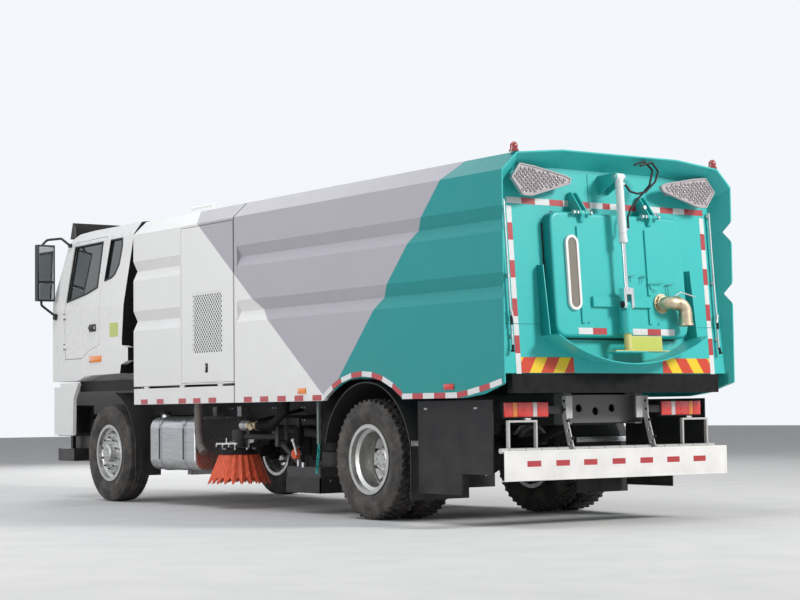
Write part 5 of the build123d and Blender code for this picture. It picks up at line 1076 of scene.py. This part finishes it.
def dress_cab():
    """Seals round the windows, mirror glass, side lamps, wipers, lamps and trim of the cab."""
    mirror_face, tree, shader = start_finish("mirror_face", (0.55, 0.58, 0.6), 0.04, {"Metallic": 1.0})
    feed(shader, "Roughness", ramp(tree, noise(tree, 5.0), 0.3, 0.8, 0.03, 0.1))
    for side, s in truck_sides.items():
        shape = bmesh.new()
        place = on_skin(s)
        add_bent_rod(shape, place, door_window + door_window[:2], 0.011, 0, 8)
        piece = settle(shape, f"door_window_seal_{side}", f"cab_door_{side}", [trim_plastic], 50)
        shape = bmesh.new()
        add_bent_rod(shape, place, quarter_window + quarter_window[:2], 0.010, 0, 8)
        add_box(shape, at(s * 1.236, -5.356, 1.505), at(s * 1.246, -5.061, 1.575), 1, 0.003)
        add_box(shape, at(s * 1.2145, -4.909, 1.770), at(s * 1.2165, -4.708, 1.920), 2)
        add_rod(shape, at(s * 1.10, -6.30, 2.03), at(s * 1.245, -6.245, 2.04), 0.038, 0, 14, 0.026)
        piece = settle(shape, f"cab_side_trim_{side}", "cab", [trim_plastic, amber_lens, label_yellow], 50)
        shape = bmesh.new()
        add_box(shape, at(s * 1.268, -6.2155, 2.455), at(s * 1.442, -6.2125, 2.842), 0, 0.001)
        add_box(shape, at(s * 1.268, -6.2155, 2.246), at(s * 1.442, -6.2085, 2.425), 0, 0.003)
        settle(shape, f"mirror_glass_{side}", "cab", [mirror_face])
        shape = bmesh.new()
        add_box(shape, at(s * 1.2152, -5.40, 1.845), at(s * 1.224, -5.24, 1.925), 0, 0.004)
        add_box(shape, at(s * 1.232, -5.385, 1.868), at(s * 1.241, -5.255, 1.902), 0, 0.003)
        settle(shape, f"door_handle_{side}", f"cab_door_{side}", [trim_plastic], 40)
    shape = bmesh.new()
    for x in (0.75, -0.05):
        add_bent_rod(shape, screen_spot, ((x, 2.170), (x - 0.225, 2.330), (x - 0.50, 2.480)), 0.009, 0, 8)
        add_rod(shape, screen_spot(x - 0.72, 2.27, -6.400), screen_spot(x - 0.34, 2.69, -6.400), 0.010, 0, 8)
    for x in (-0.80, -0.40, 0.0, 0.40, 0.80):
        add_box(shape, at(x - 0.05, -6.02, 2.952), at(x + 0.05, -5.97, 2.985), 1, 0.006)
    settle(shape, "wipers_and_roof_lamps", "cab", [trim_plastic, amber_lens], 40)


# Length, height and cells each way of the engine door's drilled panel
panel_length = 0.614
panel_height = 0.624
panel_cells = 26


def dress_housing_doors():
    """Each engine door with its perforated sheet, latch and lower seam, in place of the plain one."""
    for side, s in truck_sides.items():
        shape = bmesh.new()
        outer, inner = s * 1.2500, s * 1.2200
        for y0, y1, z0, z1 in (
            (-3.231, -3.012, 1.240, 2.790),
            (-2.398, -2.196, 1.240, 2.790),
            (-3.012, -2.398, 1.240, 1.507),
            (-3.012, -2.398, 2.131, 2.790),
        ):
            add_box(shape, at(inner, y0, z0), at(outer, y1, z1))
        # A black sheet behind the drilled panel, so its holes show dark: painted shade of the door's inside
        add_box(shape, at(s * 1.2205, -3.012, 1.507), at(s * 1.2225, -2.398, 2.131), 1)
        grid = bmesh.ops.create_grid(shape, x_segments=panel_cells, y_segments=panel_cells, size=0.5)["verts"]
        bmesh.ops.scale(shape, vec=(panel_length, panel_height, 1), verts=grid)
        holes = []
        for face in {face for vert in grid for face in vert.link_faces}:
            middle = face.calc_center_median()
            column = round((middle.x / panel_length + 0.5) * panel_cells - 0.5)
            row = round((middle.y / panel_height + 0.5) * panel_cells - 0.5)
            if (column + row) % 2 and abs(middle.x) < 0.28 and abs(middle.y) < 0.285:
                holes.append(face)
        bmesh.ops.inset_individual(shape, faces=holes, thickness=0.0016, use_even_offset=True)
        bmesh.ops.delete(shape, geom=holes, context="FACES")
        # The sheet is what still lies about the origin
        sheet = [vert for vert in shape.verts if vert.co.length < 0.6]
        bmesh.ops.rotate(shape, cent=(0, 0, 0), matrix=Matrix(((0, 0, 1), (1, 0, 0), (0, 1, 0))), verts=sheet)
        bmesh.ops.translate(shape, vec=at(s * 1.2455, -2.705, 1.819), verts=sheet)
        add_box(shape, at(s * 1.2500, -2.745, 1.335), at(s * 1.2560, -2.695, 1.425), 1, 0.003)
        add_rod(shape, at(s * 1.256, -2.72, 1.40), at(s * 1.262, -2.72, 1.40), 0.012, 2, 12)
        add_box(shape, at(s * 1.262, -2.727, 1.35), at(s * 1.268, -2.713, 1.41), 2, 0.002)
        piece = settle(shape, f"engine_door_{side}", f"housing_door_{side}", [livery, frame_black, zinc_plate])
        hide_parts(f"housing_door_{side}")


# X and station of each brush's middle
brush_x = 0.905
brush_station = -2.690


def dress_brushes():
    """Pointed orange bundles under a steel plate in place of each brush, and the sprayer bar over it."""
    for side, s in truck_sides.items():
        shape = bmesh.new()
        middle = at(s * brush_x, brush_station, 0)
        # Rows of bundles: upper radius, lower radius, upper height, lower height, count and turn
        for top_radius, foot_radius, top, foot, count, turn in (
            (0.196, 0.316, 0.536, 0.238, 22, 0.0),
            (0.170, 0.270, 0.530, 0.240, 20, 0.5),
            (0.130, 0.215, 0.520, 0.242, 16, 0.0),
        ):
            made = bmesh.ops.create_cone(
                shape, cap_ends=False, segments=count * 2, radius1=foot_radius, radius2=top_radius,
                depth=top - foot,
            )["verts"]
            for vert in made:
                angle = math.atan2(vert.co.y, vert.co.x)
                step = round(angle / (math.tau / (count * 2)))
                if step % 2:
                    shrink, lift = (0.86, 0.075) if vert.co.z < 0 else (0.96, 0.0)
                    vert.co = (vert.co.x * shrink, vert.co.y * shrink, vert.co.z + lift)
            shift = Matrix.Rotation(turn * math.tau / count, 3, "Z")
            bmesh.ops.rotate(shape, cent=(0, 0, 0), matrix=shift, verts=made)
            bmesh.ops.translate(shape, vec=middle + Vector((0, 0, (top + foot) / 2)), verts=made)
            faces = list({face for vert in made for face in vert.link_faces})
            bmesh.ops.solidify(shape, geom=faces, thickness=0.004)
        for z0, z1, radius, sides in ((0.528, 0.575, 0.205, 48), (0.573, 0.588, 0.120, 32)):
            add_rod(shape, middle + Vector((0, 0, z0)), middle + Vector((0, 0, z1)), radius, 1, sides)
        bolt = middle + Vector((0.16, 0, 0.575))
        made = add_rod(shape, bolt, bolt + Vector((0, 0, 0.015)), 0.011, 2, 6)
        ring_of(shape, made, middle, 8, (0, 0, 1))
        bar = bmesh.new()
        add_rod(bar, at(s * 1.10, -2.800, 0.632), at(s * 1.10, -2.400, 0.640), 0.009, 0, 10)
        add_rod(bar, at(s * 0.960, -2.660, 0.665), at(s * 1.10, -2.600, 0.637), 0.008, 0, 10)
        for y in (-2.78, -2.66, -2.54, -2.42):
            add_rod(bar, at(s * 1.10, y, 0.640), at(s * 1.112, y - 0.006, 0.600), 0.008, 0, 8, 0.004)
        add_rod(bar, at(s * 1.10, -2.600, 0.630), at(s * 1.10, -2.600, 0.690), 0.007, 0, 8)
        settle(bar, f"sprayer_bar_{side}", f"brush_head_{side}", [ram_white], 40)
        piece = settle(shape, f"brush_crown_{side}", f"brush_{side}", [brush_orange, frame_black, zinc_plate], 25)
        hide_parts(f"brush_{side}")


dress_cab()
dress_housing_doors()
dress_brushes()

# Camera, light and floor


def level_camera():
    """Camera at the photograph's place, low behind the truck's left rear corner."""
    yaw, pitch, roll = -0.6137, 0.0590, -0.0119
    place = (10.3391, 13.4935 + rear_axle_y, 0.9336)
    ahead = Vector((math.sin(yaw) * math.cos(pitch), -math.cos(yaw) * math.cos(pitch), math.sin(pitch)))
    right = ahead.cross(Vector((0, 0, 1))).normalized()
    up = right.cross(ahead)
    across = right * math.cos(roll) + up * math.sin(roll)
    upright = up * math.cos(roll) - right * math.sin(roll)
    camera = bpy.data.objects.new("street_camera", bpy.data.cameras.new("street_camera"))
    camera.data.sensor_width = 36.0
    camera.data.lens = 84.70
    camera.data.clip_end = 200.0
    turn = Matrix((across, upright, -ahead)).transposed().to_4x4()
    camera.matrix_world = Matrix.Translation(place) @ turn
    bpy.context.scene.collection.objects.link(camera)
    bpy.context.scene.camera = camera


def soft_lamp(name, place, aim, size, power, colour=(1, 1, 1)):
    lamp = bpy.data.objects.new(name, bpy.data.lights.new(name, "AREA"))
    lamp.data.shape = "DISK"
    lamp.data.size = size
    lamp.data.energy = power
    lamp.data.color = colour
    lamp.location = place
    lamp.rotation_euler = (Vector(aim) - Vector(place)).to_track_quat("-Z", "Y").to_euler()
    bpy.context.scene.collection.objects.link(lamp)


def pale_world():
    """Even light, with a white background behind the object and in its reflections."""
    world = bpy.data.worlds.new("studio")
    bpy.context.scene.world = world
    world.use_nodes = True
    tree = world.node_tree
    sky = tree.nodes["Background"]
    sky.inputs["Color"].default_value = (0.93, 0.96, 1.0, 1)
    rays = tree.nodes.new("ShaderNodeLightPath")
    seen = math_node(tree, "MAXIMUM", rays.outputs["Is Camera Ray"], rays.outputs["Is Glossy Ray"])
    seen = math_node(tree, "MAXIMUM", seen, rays.outputs["Is Transmission Ray"])
    tree.links.new(ramp(tree, seen, 0.0, 1.0, 0.30, 0.97), sky.inputs["Strength"])


def studio_floor():
    mesh = bpy.data.meshes.new("studio_floor")
    sheet = bmesh.new()
    bmesh.ops.create_grid(sheet, x_segments=1, y_segments=1, size=60)
    sheet.to_mesh(mesh)
    sheet.free()
    floor = bpy.data.objects.new("studio_floor", mesh)
    bpy.context.scene.collection.objects.link(floor)
    finish, tree, shader = start_finish("floor_grey", (0.62, 0.62, 0.62), 0.85)
    speckle = ramp(tree, noise(tree, 2.0, 6.0), 0.3, 0.7)
    feed(shader, "Base Color", mix_colour(tree, speckle, (0.60, 0.60, 0.60), (0.66, 0.655, 0.65)))
    mesh.materials.append(finish)


bpy.context.scene.view_settings.view_transform = "Standard"
level_camera()
pale_world()
studio_floor()
soft_lamp("tail_key", (-8, 17, 11), (0, 3, 1.4), 4.5, 2900, (1, 0.98, 0.95))
soft_lamp("overhead_sky", (5.5, 1, 13), (0.6, 0.5, 1.4), 8.0, 720, (0.95, 0.97, 1))
soft_lamp("side_fill", (15, 2, 4), (0, 0, 1.4), 8.0, 640, (1, 0.98, 0.97))
soft_lamp("nose_fill", (-6, -14, 8), (0, -2, 1.4), 8.0, 900)
